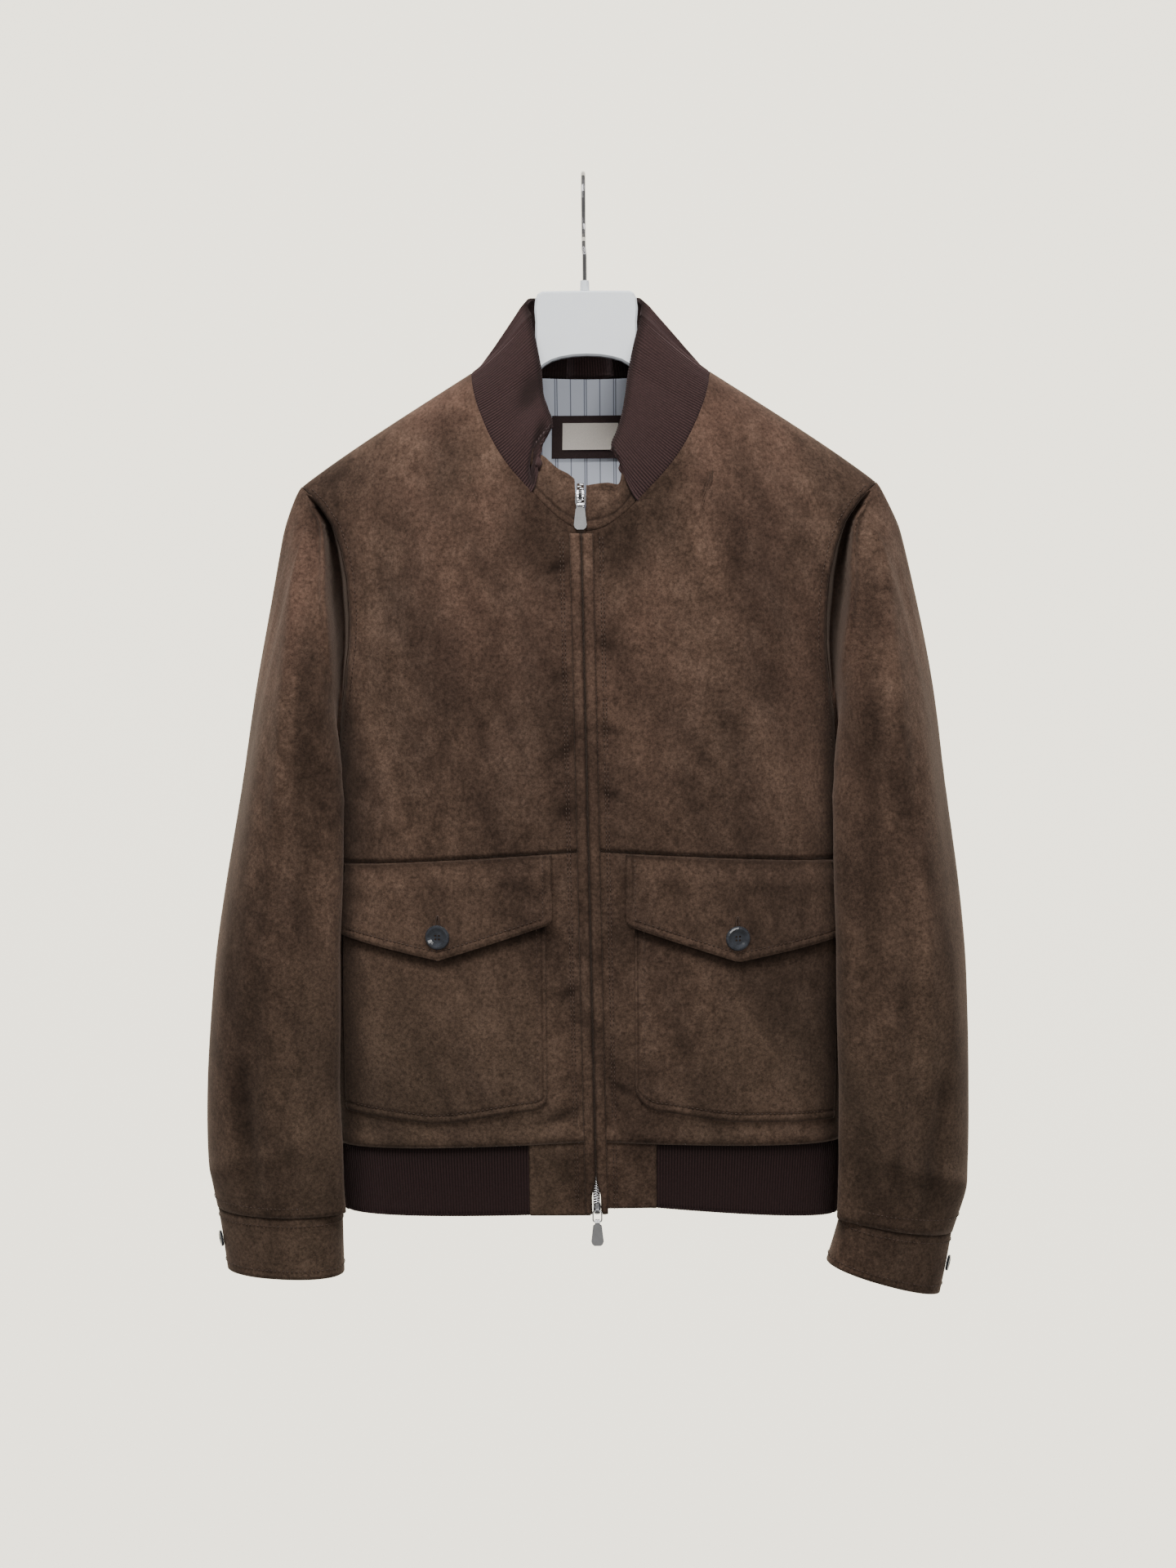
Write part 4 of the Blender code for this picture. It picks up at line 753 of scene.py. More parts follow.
def flapSeat(side):
    sizes = pocketSizes[side]
    out = flapOut(side, sizes.buttonX, sizes.buttonZ)
    seat = body(side * sizes.buttonX, sizes.buttonZ, frontFace, out)
    return seat, bodyNormal(side * sizes.buttonX, sizes.buttonZ, frontFace)


# making of meshes
def dense(values, steps):
    fine = []
    for low, high in zip(values, values[1:]):
        fine += [blend(low, high, n / steps) for n in range(steps)]
    return fine + [values[-1]]


def meshFrom(name, shape):
    mesh = bpy.data.meshes.new(name)
    shape.to_mesh(mesh)
    shape.free()
    return mesh


def addPiece(name, mesh, finish, body="jacket"):
    made = bpy.data.objects.new(name, mesh)
    bpy.context.scene.collection.objects.link(made)
    mesh.materials.append(finish)
    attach(made, body)
    return made


paintedShade = {"gain": 550, "relief": 0.62, "most": 0.85}    # painted shade: darkness per metre of a hollow's depth, its cap in hollows, and its overall cap


def clothShell(name, surface, columns, rows, thickness, finish, axisX=0.0,
               joined=False, relief=None, measureRow=None, shadow=None):
    across, down = len(columns) - 1, len(rows) - 1
    shape = bmesh.new()
    bmesh.ops.create_grid(shape, x_segments=across, y_segments=down, size=1)
    cells = {}
    for vert in shape.verts:
        column = round((vert.co.x + 1) / 2 * across)
        row = round((vert.co.y + 1) / 2 * down)
        cells[vert.index] = (column, row)
        vert.co = surface(columns[column], rows[row])
    grid = {}
    shape.verts.ensure_lookup_table()
    for index, cell in cells.items():
        grid[cell] = shape.verts[index].co.copy()
    alongRow = measureRow if measureRow is not None else down // 2
    middle = across // 2
    uRun, vRun = [0.0], [0.0]
    for n in range(across):
        uRun.append(uRun[-1] + (grid[(n + 1, alongRow)] - grid[(n, alongRow)]).length)
    for n in range(down):
        vRun.append(vRun[-1] + (grid[(middle, n + 1)] - grid[(middle, n)]).length)
    uvLayer = shape.loops.layers.uv.new("cloth")
    for face in shape.faces:
        for loop in face.loops:
            column, row = cells[loop.vert.index]
            loop[uvLayer].uv = (uRun[column], vRun[row])
    shape.normal_update()
    outward = 0.0
    for face in shape.faces:
        centre = face.calc_center_median()
        outward += face.normal.dot(Vector((centre.x - axisX, centre.y, 0))) * face.calc_area()
    if outward < 0:
        bmesh.ops.reverse_faces(shape, faces=shape.faces)
        shape.normal_update()
    dark = shape.verts.layers.float.new("shadow")     # painted shade: how much the colour is darkened where shade falls
    moves = []
    for vert in shape.verts:
        column, row = cells[vert.index]
        height = relief(vert.co, columns[column], rows[row], uRun[column], vRun[row],
                        uRun[-1], vRun[-1]) if relief else 0.0
        moves.append(vert.normal * height)
        cast = shadow(vert.co, columns[column], rows[row]) if shadow else 0.0
        # painted shade: dips of the relief darken the colour, and shadow() adds painted cast shadow
        vert[dark] = clamp(clamp(-height * paintedShade["gain"], 0, paintedShade["relief"]) + cast,
                           0, paintedShade["most"])
    for vert, move in zip(shape.verts, moves):
        vert.co += move
    if joined:
        bmesh.ops.remove_doubles(shape, verts=shape.verts, dist=1e-6)
    mesh = meshFrom(name, shape)
    mesh.shade_smooth()
    made = addPiece(name, mesh, finish)
    shell = made.modifiers.new("thickness", "SOLIDIFY")
    shell.thickness = thickness
    shell.offset = -1
    return made


# materials
ribPitch = 0.0024


def newMaterial(name):
    made = bpy.data.materials.new(name)
    made.use_nodes = True
    nodes = made.node_tree.nodes
    return made, nodes, made.node_tree.links, nodes["Principled BSDF"]


def noiseNode(nodes, links, coord, scale, detail=3.0, rough=0.6, stretch=(1, 1, 1)):
    mapping = nodes.new("ShaderNodeMapping")
    mapping.inputs["Scale"].default_value = stretch
    links.new(coord, mapping.inputs["Vector"])
    made = nodes.new("ShaderNodeTexNoise")
    made.inputs["Scale"].default_value = scale
    made.inputs["Detail"].default_value = detail
    made.inputs["Roughness"].default_value = rough
    links.new(mapping.outputs["Vector"], made.inputs["Vector"])
    return made.outputs["Fac"]


# painted shade: mixes the colour towards near black by the shadow attribute
def shadowNode(nodes, links, colour):
    dark = nodes.new("ShaderNodeAttribute")
    dark.attribute_name = "shadow"
    return mixNode(nodes, links, dark.outputs["Fac"], colour, (0.004, 0.0022, 0.0016))


def rampNode(nodes, links, value, stops):
    made = nodes.new("ShaderNodeValToRGB")
    ramp = made.color_ramp
    ramp.elements[0].position = stops[0][0]
    ramp.elements[0].color = (*stops[0][1], 1)
    ramp.elements[1].position = stops[-1][0]
    ramp.elements[1].color = (*stops[-1][1], 1)
    for place, colour in stops[1:-1]:
        ramp.elements.new(place).color = (*colour, 1)
    links.new(value, made.inputs["Fac"])
    return made.outputs["Color"]


def mixNode(nodes, links, share, first, second, kind="MIX"):
    made = nodes.new("ShaderNodeMix")
    made.data_type = "RGBA"
    made.blend_type = kind
    for value, socket in ((share, made.inputs[0]), (first, made.inputs[6]), (second, made.inputs[7])):
        if isinstance(value, (int, float)):
            socket.default_value = value
        elif isinstance(value, tuple):
            socket.default_value = (*value, 1)
        else:
            links.new(value, socket)
    return made.outputs[2]


def bumpNode(nodes, links, height, strength, distance):
    made = nodes.new("ShaderNodeBump")
    made.inputs["Strength"].default_value = strength
    made.inputs["Distance"].default_value = distance
    links.new(height, made.inputs["Height"])
    return made.outputs["Normal"]


def rangeNode(nodes, links, value, fromLow, fromHigh, toLow, toHigh):
    made = nodes.new("ShaderNodeMapRange")
    limits = {"From Min": fromLow, "From Max": fromHigh, "To Min": toLow, "To Max": toHigh}
    for socket, limit in limits.items():
        made.inputs[socket].default_value = limit
    links.new(value, made.inputs["Value"])
    return made.outputs["Result"]


def mathNode(nodes, links, operation, value, other=0.0):
    made = nodes.new("ShaderNodeMath")
    made.operation = operation
    made.inputs[1].default_value = other
    links.new(value, made.inputs[0])
    return made.outputs["Value"]


suedeLook = {
    "dark": (0.0305, 0.0186, 0.0134),
    "mid": (0.0680, 0.0424, 0.0308),
    "light": (0.1110, 0.0720, 0.0535),
    "red": (0.0980, 0.0530, 0.0405),
    "olive": (0.0620, 0.0435, 0.0308),
}


def suedeMaterial():
    made, nodes, links, shader = newMaterial("suede_nap")
    coord = nodes.new("ShaderNodeTexCoord").outputs["Object"]
    streaks = noiseNode(nodes, links, coord, 16.0, 3.0, 0.55, (1, 1, 0.28))
    broad = noiseNode(nodes, links, coord, 7.0, 2.0, 0.5, (1, 1, 0.6))
    mottle = noiseNode(nodes, links, coord, 64.0, 7.0, 0.78, (1, 1, 0.80))
    grain = noiseNode(nodes, links, coord, 340.0, 6.0, 0.85)
    fine = noiseNode(nodes, links, coord, 1700.0, 2.0, 0.7)
    height = nodes.new("ShaderNodeSeparateXYZ")
    links.new(coord, height.inputs["Vector"])
    mixed = mixNode(nodes, links, 0.38, mottle, streaks)
    base = rampNode(nodes, links, mixed, [(0.37, suedeLook["dark"]), (0.50, suedeLook["mid"]),
                                           (0.64, suedeLook["light"])])
    lift = rangeNode(nodes, links, height.outputs["Z"], -0.75, -0.22, 0.0, 1.0)
    tint = mixNode(nodes, links, lift, suedeLook["olive"], suedeLook["red"])
    patches = rampNode(nodes, links, broad, [(0.38, (0.02, 0.02, 0.02)), (0.64, (0.55, 0.55, 0.55))])
    base = mixNode(nodes, links, patches, base, tint)
    # painted light and shade of soft folds: random diagonal streaks, lighter and darker, multiplied into the
    # colour
    slant = nodes.new("ShaderNodeMapping")
    slant.inputs["Rotation"].default_value = (0, radians(24), 0)
    links.new(coord, slant.inputs["Vector"])
    paintedFoldShade = noiseNode(nodes, links, slant.outputs["Vector"], 15.0, 3.0, 0.5, (1.5, 1.5, 0.42))
    paintedFoldShade = rampNode(nodes, links, paintedFoldShade, [(0.36, (0.73, 0.73, 0.74)), (0.64, (1.27, 1.27, 1.26))])
    base = mixNode(nodes, links, 1.0, base, paintedFoldShade, "MULTIPLY")
    speckle = rampNode(nodes, links, grain, [(0.37, (0.50, 0.50, 0.50)), (0.63, (1.50, 1.50, 1.50))])
    base = mixNode(nodes, links, 1.0, base, speckle, "MULTIPLY")
    base = shadowNode(nodes, links, base)
    links.new(base, shader.inputs["Base Color"])
    shader.inputs["Roughness"].default_value = 0.95
    shader.inputs["Specular IOR Level"].default_value = 0.10
    shader.inputs["Sheen Weight"].default_value = 0.22
    shader.inputs["Sheen Roughness"].default_value = 0.5
    shader.inputs["Sheen Tint"].default_value = (0.62, 0.48, 0.40, 1)
    rough = mixNode(nodes, links, 0.5, grain, fine)
    links.new(bumpNode(nodes, links, rough, 0.45, 0.0007), shader.inputs["Normal"])
    return made


ribLook = {"dark": (0.0190, 0.0100, 0.0102), "light": (0.0475, 0.0257, 0.0255)}


def ribMaterial():
    made, nodes, links, shader = newMaterial("rib_knit")
    coord = nodes.new("ShaderNodeTexCoord").outputs["Object"]
    grain = noiseNode(nodes, links, coord, 900.0, 3.0, 0.7)
    colour = rampNode(nodes, links, grain, [(0.25, ribLook["dark"]), (0.75, ribLook["light"])])
    across = nodes.new("ShaderNodeSeparateXYZ")
    links.new(nodes.new("ShaderNodeUVMap").outputs["UV"], across.inputs["Vector"])
    # painted shade and light: the colour darkens in each rib groove and brightens a little on each ridge,
    # fully near the band's seam and at 0.45 strength from 45 mm on
    turns = mathNode(nodes, links, "MULTIPLY", across.outputs["X"], 2 * pi / ribPitch)
    wave = mathNode(nodes, links, "SINE", turns)
    ribShading = rangeNode(nodes, links, wave, -1.0, 0.3, 0.30, 1.20)
    fade = rangeNode(nodes, links, across.outputs["Y"], 0.012, 0.045, 1.0, 0.45)
    colour = mixNode(nodes, links, fade, colour, ribShading, "MULTIPLY")
    links.new(shadowNode(nodes, links, colour), shader.inputs["Base Color"])
    shader.inputs["Roughness"].default_value = 0.9
    shader.inputs["Specular IOR Level"].default_value = 0.15
    shader.inputs["Sheen Weight"].default_value = 0.25
    shader.inputs["Sheen Tint"].default_value = (0.55, 0.40, 0.42, 1)
    links.new(bumpNode(nodes, links, grain, 0.4, 0.0004), shader.inputs["Normal"])
    return made


def plainMaterial(name, colour, roughness, metallic=0.0, coat=0.0, grainScale=0.0, spread=0.0):
    made, nodes, links, shader = newMaterial(name)
    shader.inputs["Roughness"].default_value = roughness
    shader.inputs["Metallic"].default_value = metallic
    shader.inputs["Coat Weight"].default_value = coat
    coord = nodes.new("ShaderNodeTexCoord").outputs["Object"]
    grain = noiseNode(nodes, links, coord, grainScale or 60.0, 2.0, 0.5)
    low = tuple(value * (1 - spread) for value in colour)
    high = tuple(min(value * (1 + spread), 1.0) for value in colour)
    links.new(rampNode(nodes, links, grain, [(0.3, low), (0.7, high)]), shader.inputs["Base Color"])
    return made


suedeNap = suedeMaterial()
ribKnit = ribMaterial()
chromeMetal = plainMaterial("chrome_metal", (0.66, 0.67, 0.69), 0.24, 1.0, grainScale=140.0, spread=0.10)
sliderMetal = plainMaterial("slider_metal", (0.20, 0.20, 0.21), 0.28, 1.0, grainScale=140.0, spread=0.20)
zipTape = plainMaterial("zip_tape", (0.040, 0.024, 0.017), 0.9, grainScale=900.0, spread=0.2)
wireMetal = plainMaterial("wire_metal", (0.36, 0.36, 0.38), 0.24, 1.0, grainScale=140.0, spread=0.10)
hornLook = plainMaterial("horn", (0.026, 0.030, 0.039), 0.20, 0.0, 0.6, 220.0, 0.35)
whitePlastic = plainMaterial("white_plastic", (0.86, 0.92, 0.99), 0.30, 0.0, 0.3, spread=0.01)
patchCloth = plainMaterial("patch_cloth", (0.035, 0.018, 0.019), 0.8, grainScale=900.0, spread=0.25)
labelCloth = plainMaterial("label_cloth", (0.90, 0.84, 0.78), 0.8, grainScale=1200.0, spread=0.06)
threadBrown = plainMaterial("thread_brown", (0.050, 0.028, 0.019), 0.6, grainScale=900.0, spread=0.2)


liningLook = {"offset": 1.0040, "repeat": 0.0249, "stripes": (0.30, 0.37, 0.83), "halfWidth": 0.013,
              "cloth": (0.80, 0.86, 1.0), "stripe": (0.22, 0.24, 0.33)}


def liningMaterial():
    made, nodes, links, shader = newMaterial("lining_stripe")
    coord = nodes.new("ShaderNodeTexCoord").outputs["Object"]
    place = nodes.new("ShaderNodeSeparateXYZ")
    links.new(coord, place.inputs["Vector"])
    turn = place.outputs["X"]
    for operation, value in (("ADD", liningLook["offset"]), ("DIVIDE", liningLook["repeat"]), ("FRACT", 0.0)):
        turn = mathNode(nodes, links, operation, turn, value)
    cloth, stripe, half = liningLook["cloth"], liningLook["stripe"], liningLook["halfWidth"]
    stops = []
    for middle in liningLook["stripes"]:
        stops += [(middle - half - 0.008, cloth), (middle - half, stripe), (middle + half, stripe),
                  (middle + half + 0.008, cloth)]
    cloths = rampNode(nodes, links, turn, stops)
    links.new(cloths, shader.inputs["Base Color"])
    grain = noiseNode(nodes, links, coord, 700.0, 2.0, 0.5)
    links.new(bumpNode(nodes, links, grain, 0.3, 0.0004), shader.inputs["Normal"])
    shader.inputs["Roughness"].default_value = 0.75
    return made


liningStripe = liningMaterial()
print("stage: materials")


# the panels
def upperRows(sideEnd):
    last = len(dropShares) - 1
    return dense(list(range(last + 1)) + [last + share for share in sideEnd], 9)


def seamDip(distance, reach, depth):
    return -depth * (1 - ease(distance / reach))


# where less light falls: height, reach of the shadow's foot from the body's side, its strength
Shade = namedtuple("Shade", "z reach strength")
sideShades = (Shade(-0.8700, 0.020, 0.50), Shade(-0.7200, 0.026, 0.50), Shade(-0.5900, 0.024, 0.42),
              Shade(-0.4600, 0.016, 0.45), Shade(-0.4150, 0.008, 0.50), Shade(-0.3900, 0.003, 0.30),
              Shade(-0.2500, 0.003, 0.30))


def sideShadow(place, share=0.0, row=0.0):
    shade = rowAt(sideShades, place.z)
    reach = abs(place.x - sway(place.z))
    start = rowAt(torsoRows, place.z).halfWidth if place.z < -0.42 else edgeX(place.z)
    start = min(start, 0.2065)
    dark = shade.strength * ease((reach - start + shade.reach) / shade.reach) if place.y < 0 else 0.0
    if place.z > -0.36 and place.y < 0:
        away = (Vector((place.x, 0, place.z)) - Vector((0.004, 0, -0.262))).length
        dark = max(dark, 0.50 * (1 - ease((away - 0.052) / 0.040)))
    return dark


# puckers that the zip draws in the cloth: height, distance from the zip, size across and up
Pucker = namedtuple("Pucker", "side z away wide tall height")
zipPuckers = (
    Pucker(rightSide, -0.322, 0.020, 0.009, 0.0050, -0.0009),
    Pucker(rightSide, -0.371, 0.024, 0.011, 0.0070, 0.0010),
    Pucker(rightSide, -0.409, 0.019, 0.009, 0.0045, -0.0011),
    Pucker(rightSide, -0.443, 0.022, 0.012, 0.0060, 0.0012),
    Pucker(rightSide, -0.470, 0.018, 0.008, 0.0045, -0.0012),
    Pucker(rightSide, -0.492, 0.021, 0.010, 0.0050, 0.0011),
    Pucker(rightSide, -0.519, 0.019, 0.009, 0.0060, -0.0011),
    Pucker(rightSide, -0.604, 0.020, 0.008, 0.0070, 0.0009),
    Pucker(rightSide, -0.668, 0.019, 0.008, 0.0050, -0.0010),
    Pucker(rightSide, -0.735, 0.022, 0.010, 0.0060, 0.0012),
    Pucker(rightSide, -0.771, 0.026, 0.014, 0.0050, -0.0014),
    Pucker(rightSide, -0.787, 0.035, 0.018, 0.0045, 0.0014),
    Pucker(leftSide, -0.335, 0.021, 0.009, 0.0055, 0.0009),
    Pucker(leftSide, -0.384, 0.019, 0.010, 0.0060, -0.0010),
    Pucker(leftSide, -0.425, 0.023, 0.010, 0.0050, 0.0012),
    Pucker(leftSide, -0.453, 0.020, 0.009, 0.0045, -0.0012),
    Pucker(leftSide, -0.478, 0.024, 0.012, 0.0050, 0.0014),
    Pucker(leftSide, -0.505, 0.020, 0.009, 0.0050, -0.0012),
    Pucker(leftSide, -0.531, 0.026, 0.013, 0.0060, 0.0012),
    Pucker(leftSide, -0.622, 0.021, 0.008, 0.0060, -0.0009),
    Pucker(leftSide, -0.701, 0.020, 0.009, 0.0050, 0.0010),
    Pucker(leftSide, -0.749, 0.024, 0.012, 0.0050, -0.0012),
    Pucker(leftSide, -0.783, 0.030, 0.016, 0.0050, 0.0013),
)


def puckerHeight(side, place):
    height = 0.0
    for pucker in zipPuckers:
        if pucker.side == side and abs(place.z - pucker.z) < 3 * pucker.tall:
            away = side * (place.x - zipX(place.z)) - pucker.away
            rise = place.z - pucker.z + 0.35 * away
            height += pucker.height * exp(-(away / pucker.wide) ** 2 - (rise / pucker.tall) ** 2)
    return height


for side, label in ((rightSide, "right"), (leftSide, "left")):
    def upperRelief(place, share, row, u, v, uLast, vLast, side=side):
        return (seamDip(uLast - u, 0.004, 0.0006) + seamDip(vLast - v, 0.004, 0.0006)
                + puckerHeight(side, place))

    def lowerRelief(place, share, row, u, v, uLast, vLast, side=side):
        hem = 0.0016 * ease((v - vLast + 0.016) / 0.010) - 0.0010 * ease((v - vLast + 0.002) / 0.002)
        return seamDip(v, 0.004, 0.0008) + hem + puckerHeight(side, place)

    piece = clothShell("upper_front_" + label,
                       lambda share, row, side=side: panelPoint(side, frontFace, share, row, waistZ),
                       dense(frontColumns(side), 5), upperRows((0.5, 1.0)), suedeWall, suedeNap,
                       relief=upperRelief, shadow=sideShadow)
    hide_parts("front_upper_" + label)

    def lowerSurface(share, row, side=side):
        z = waistLineZ
        for _ in range(4):
            inner = innerX(side, z)
            reach = blend(inner, edgeX(z), share)
            z = blend(waistZ(reach) - seamHalf, ribSeamZ(reach, frontFace) + seamHalf, row)
        return body(side * blend(innerX(side, z), edgeX(z), share), z, frontFace)

    piece = clothShell("lower_front_" + label, lowerSurface, dense(lowerShares, 7),
                       [n / 70 for n in range(71)], suedeWall, suedeNap,
                       relief=lowerRelief, shadow=sideShadow)
    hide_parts("front_lower_" + label)
print("stage: fronts")


def backSurface(share, row):
    side = leftSide if share >= 0 else rightSide
    return panelPoint(side, backFace, abs(share), row, lambda reach: ribSeamZ(reach, backFace))


piece = clothShell("back_panel", backSurface, dense(backColumns(), 5), upperRows((0.25, 0.5, 0.75, 1.0)),
                   suedeWall, suedeNap,
                   relief=lambda place, share, row, u, v, uLast, vLast: seamDip(vLast - v, 0.004, 0.0006))
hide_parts("back")
print("stage: back")


# zip guards
def guardRelief(place, share, row, u, v, uLast, vLast):
    return 0.0012 * sin(pi * share) ** 0.6 - 0.0004 * exp(-((share - 0.80) / 0.07) ** 2)


def guardShadow(place, share, row):
    return 0.80 * exp(-(share / 0.16) ** 2) + 0.62 * exp(-((1 - share) / 0.13) ** 2)


for side, label in ((rightSide, "right"), (leftSide, "left")):
    def guardSurface(share, row, side=side):
        z = blend(guardTopZ, guardLowZ, row)
        outer = side * zipX(z) + guardWidth
        return body(side * blend(guardEdge(side, z), outer, share), z, frontFace, layerGap + guardWall)

    piece = clothShell("guard_" + label, guardSurface, [n / 12 for n in range(13)],
                       [n / 240 for n in range(241)], guardWall, suedeNap,
                       relief=guardRelief,
                       shadow=guardShadow)
    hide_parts("zip_guard_" + label)
print("stage: guards")


# collar: the knitted band and the two suede ends
ribDepth = 0.00028
tuck = 0.0030                 # how far the collar's foot runs on behind the panels


# soft folds pressed in the band: centre along the seam and up, size of both, lean, height
Dent = namedtuple("Dent", "u v wide tall lean height")
bandDents = (
    Dent(0.0165, 0.034, 0.0080, 0.0150, 0.60, -0.0085),
    Dent(0.006, 0.046, 0.0060, 0.0110, 0.40, 0.0030),
    Dent(0.040, 0.030, 0.0110, 0.0160, 0.50, 0.0016),
    Dent(0.072, 0.052, 0.0160, 0.0150, 0.20, -0.0016),
)


def ribRelief(place, share, row, u, v, uLast, vLast):
    ends = min(u, uLast - u)
    height = ribDepth * sin(2 * pi * u / ribPitch) * ease(ends / 0.005) - 0.0022 * (1 - ease(v / 0.0045))
    for dent in bandDents:
        away, rise = u - dent.u - dent.lean * (v - dent.v), v - dent.v
        height += dent.height * exp(-(away / dent.wide) ** 2 - (rise / dent.tall) ** 2)
    return height - 0.0012 * ease((row - 0.93) / 0.07) + 0.0008 * (1 - ease(ends / 0.004))


def hemRelief(place, share, row, u, v, uLast, vLast):
    return ribDepth * sin(2 * pi * u / ribPitch) - 0.0018 * (1 - ease(v / 0.0030))


def tabRelief(place, share, row, u, v, uLast, vLast):
    groove = 0.0006 * exp(-((v - tuck - 0.0065) / 0.0010) ** 2)
    behind = 0.0030 * ease((u - uLast + 0.0045) / 0.0035)
    return -0.0020 * (1 - ease(v / 0.0045)) - groove - behind + 0.0010 * ease((row - 0.9) / 0.1)


stations = []
for side in (rightSide, leftSide):
    beyond = [station for station in neckStations if station >= tabEnd[side]]
    half = [(side, frontFace, station) for station in dense(beyond, 34)]
    half += [(side, backFace, station) for station in dense(list(reversed(backStations[1:-1])), 34)]
    stations += half if side == rightSide else [(leftSide, backFace, 0.0)] + half[::-1]
piece = clothShell("collar_band", lambda station, row: bandPoint(*station, row, -tuck), stations,
                   [n / 26 for n in range(27)], ribWall, ribKnit, relief=ribRelief, measureRow=0,
                   shadow=lambda place, share, row: 0.25 * ease((row - 0.90) / 0.10))
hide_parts("collar_rib")
for side, label in ((rightSide, "right"), (leftSide, "left")):
    inner = innerX(side, topZ(0.0, frontFace))
    columns = [inner] + [station for station in neckStations if station <= tabEnd[side]]
    columns[-1] += 0.0016
    piece = clothShell("collar_end_" + label,
                       lambda station, row, side=side: bandPoint(side, frontFace, station, row, -tuck),
                       dense(columns, 10), [n / 40 for n in range(41)], ribWall, suedeNap,
                       relief=tabRelief,
                       shadow=lambda place, share, row: 0.50 * (1 - ease((row - 0.50) / 0.42)) - 0.10)
    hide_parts("collar_tab_" + label)
print("stage: collar")


# sleeves and cuffs
for side, label in ((rightSide, "right"), (leftSide, "left")):
    lastPlace = len(sleeveAngles) - 1
    places = dense(list(range(lastPlace + 1)), 10)
    ring = [(frontFace, place) for place in places]
    ring += [(backFace, place) for place in reversed(places[1:-1])] + [(frontFace, 0.0)]
    levels = dense([share - 1 for share in capShares], 8)[:-1] + dense([0.74 - 1, 0], 8)[:-1]
    levels += [n / 90 for n in range(91)]
    piece = clothShell("sleeve_cloth_" + label,
                       lambda station, level, side=side: sleeveFront(side, station, level),
                       ring, levels, suedeWall, suedeNap, side * sleeveAxisX, joined=True,
                       shadow=lambda place, share, row, side=side: sleeveShadow(side, place))
    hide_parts("sleeve_" + label)

    def cuffSurface(station, level, side=side):
        face, place = station
        angle = angleAt(place)
        return ringPoint(rowAt(cuffRings[side], level), side, angle if face == frontFace else 360 - angle)

    piece = clothShell("cuff_cloth_" + label, cuffSurface, ring, [n / 16 for n in range(17)],
                       suedeWall * 1.5, suedeNap, side * sleeveAxisX, joined=True,
                       shadow=lambda place, share, row: 0.6 * (1 - ease(row / 0.08)))
    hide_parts("cuff_" + label)
print("stage: sleeves")


# hem: the knitted band and the two suede panels by the zip
hemStations = []
for side in (rightSide, leftSide):
    half = [(side, frontFace, share) for share in dense(sideShares, 46)]
    half += [(side, backFace, share) for share in dense(list(reversed(sideShares[:-1])), 46)[1:-1]]
    hemStations += half if side == rightSide else [(leftSide, backFace, 0.0)] + half[::-1]
piece = clothShell("hem_band", lambda station, row: hemPoint(*station, row), hemStations,
                   [n / 12 for n in range(13)], ribWall, ribKnit, relief=hemRelief,
                   shadow=lambda place, share, row: 0.25 + 0.45 * (1 - ease(row / 0.22)) + sideShadow(place))
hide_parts("hem_rib")


def hemPanelRelief(place, share, row, u, v, uLast, vLast):
    return seamDip(v, 0.004, 0.0006) - 0.0024 * ease((u - uLast + 0.0038) / 0.0022)


for side, label in ((rightSide, "right"), (leftSide, "left")):
    def hemPanelSurface(share, row, side=side):
        z = blend(ribSeamZ(0.03, frontFace) - seamHalf, hemLowZ(side, 0.03, frontFace), row)
        inner = innerX(side, z) + 0.5 * guardOpen * ease((guardOpenZ - z) / 0.018)
        reach = blend(inner, panelEnd[side] + 0.0022, share)
        z = blend(ribSeamZ(reach, frontFace) - seamHalf, hemLowZ(side, reach, frontFace), row)
        return body(side * reach, z, frontFace)

    piece = clothShell("hem_end_" + label, hemPanelSurface, [n / 30 for n in range(31)],
                       [n / 30 for n in range(31)], suedeWall, suedeNap,
                       relief=hemPanelRelief)
    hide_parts("hem_panel_" + label)
print("stage: hem")


# pockets and flaps
def patchAt(side, share, row, kind):
    sizes = pocketSizes[side]
    isPocket = kind == "pocket"
    start = sizes.inner if isPocket else sizes.flapInner
    z = pocketTopZ
    for _ in range(4):
        outer = rowAt(torsoRows, z).halfWidth * (pocketSide if isPocket else flapSide)
        reach = blend(start, outer, share)
        low = pocketLowZ(side, reach) if isPocket else flapLowZ(side, reach)
        z = blend(pocketTopZ if isPocket else waistZ(reach) - 0.0012, low, row)
    out = pocketOut(side, reach, z) if isPocket else flapOut(side, reach, z)
    return body(side * reach, z, frontFace, out)


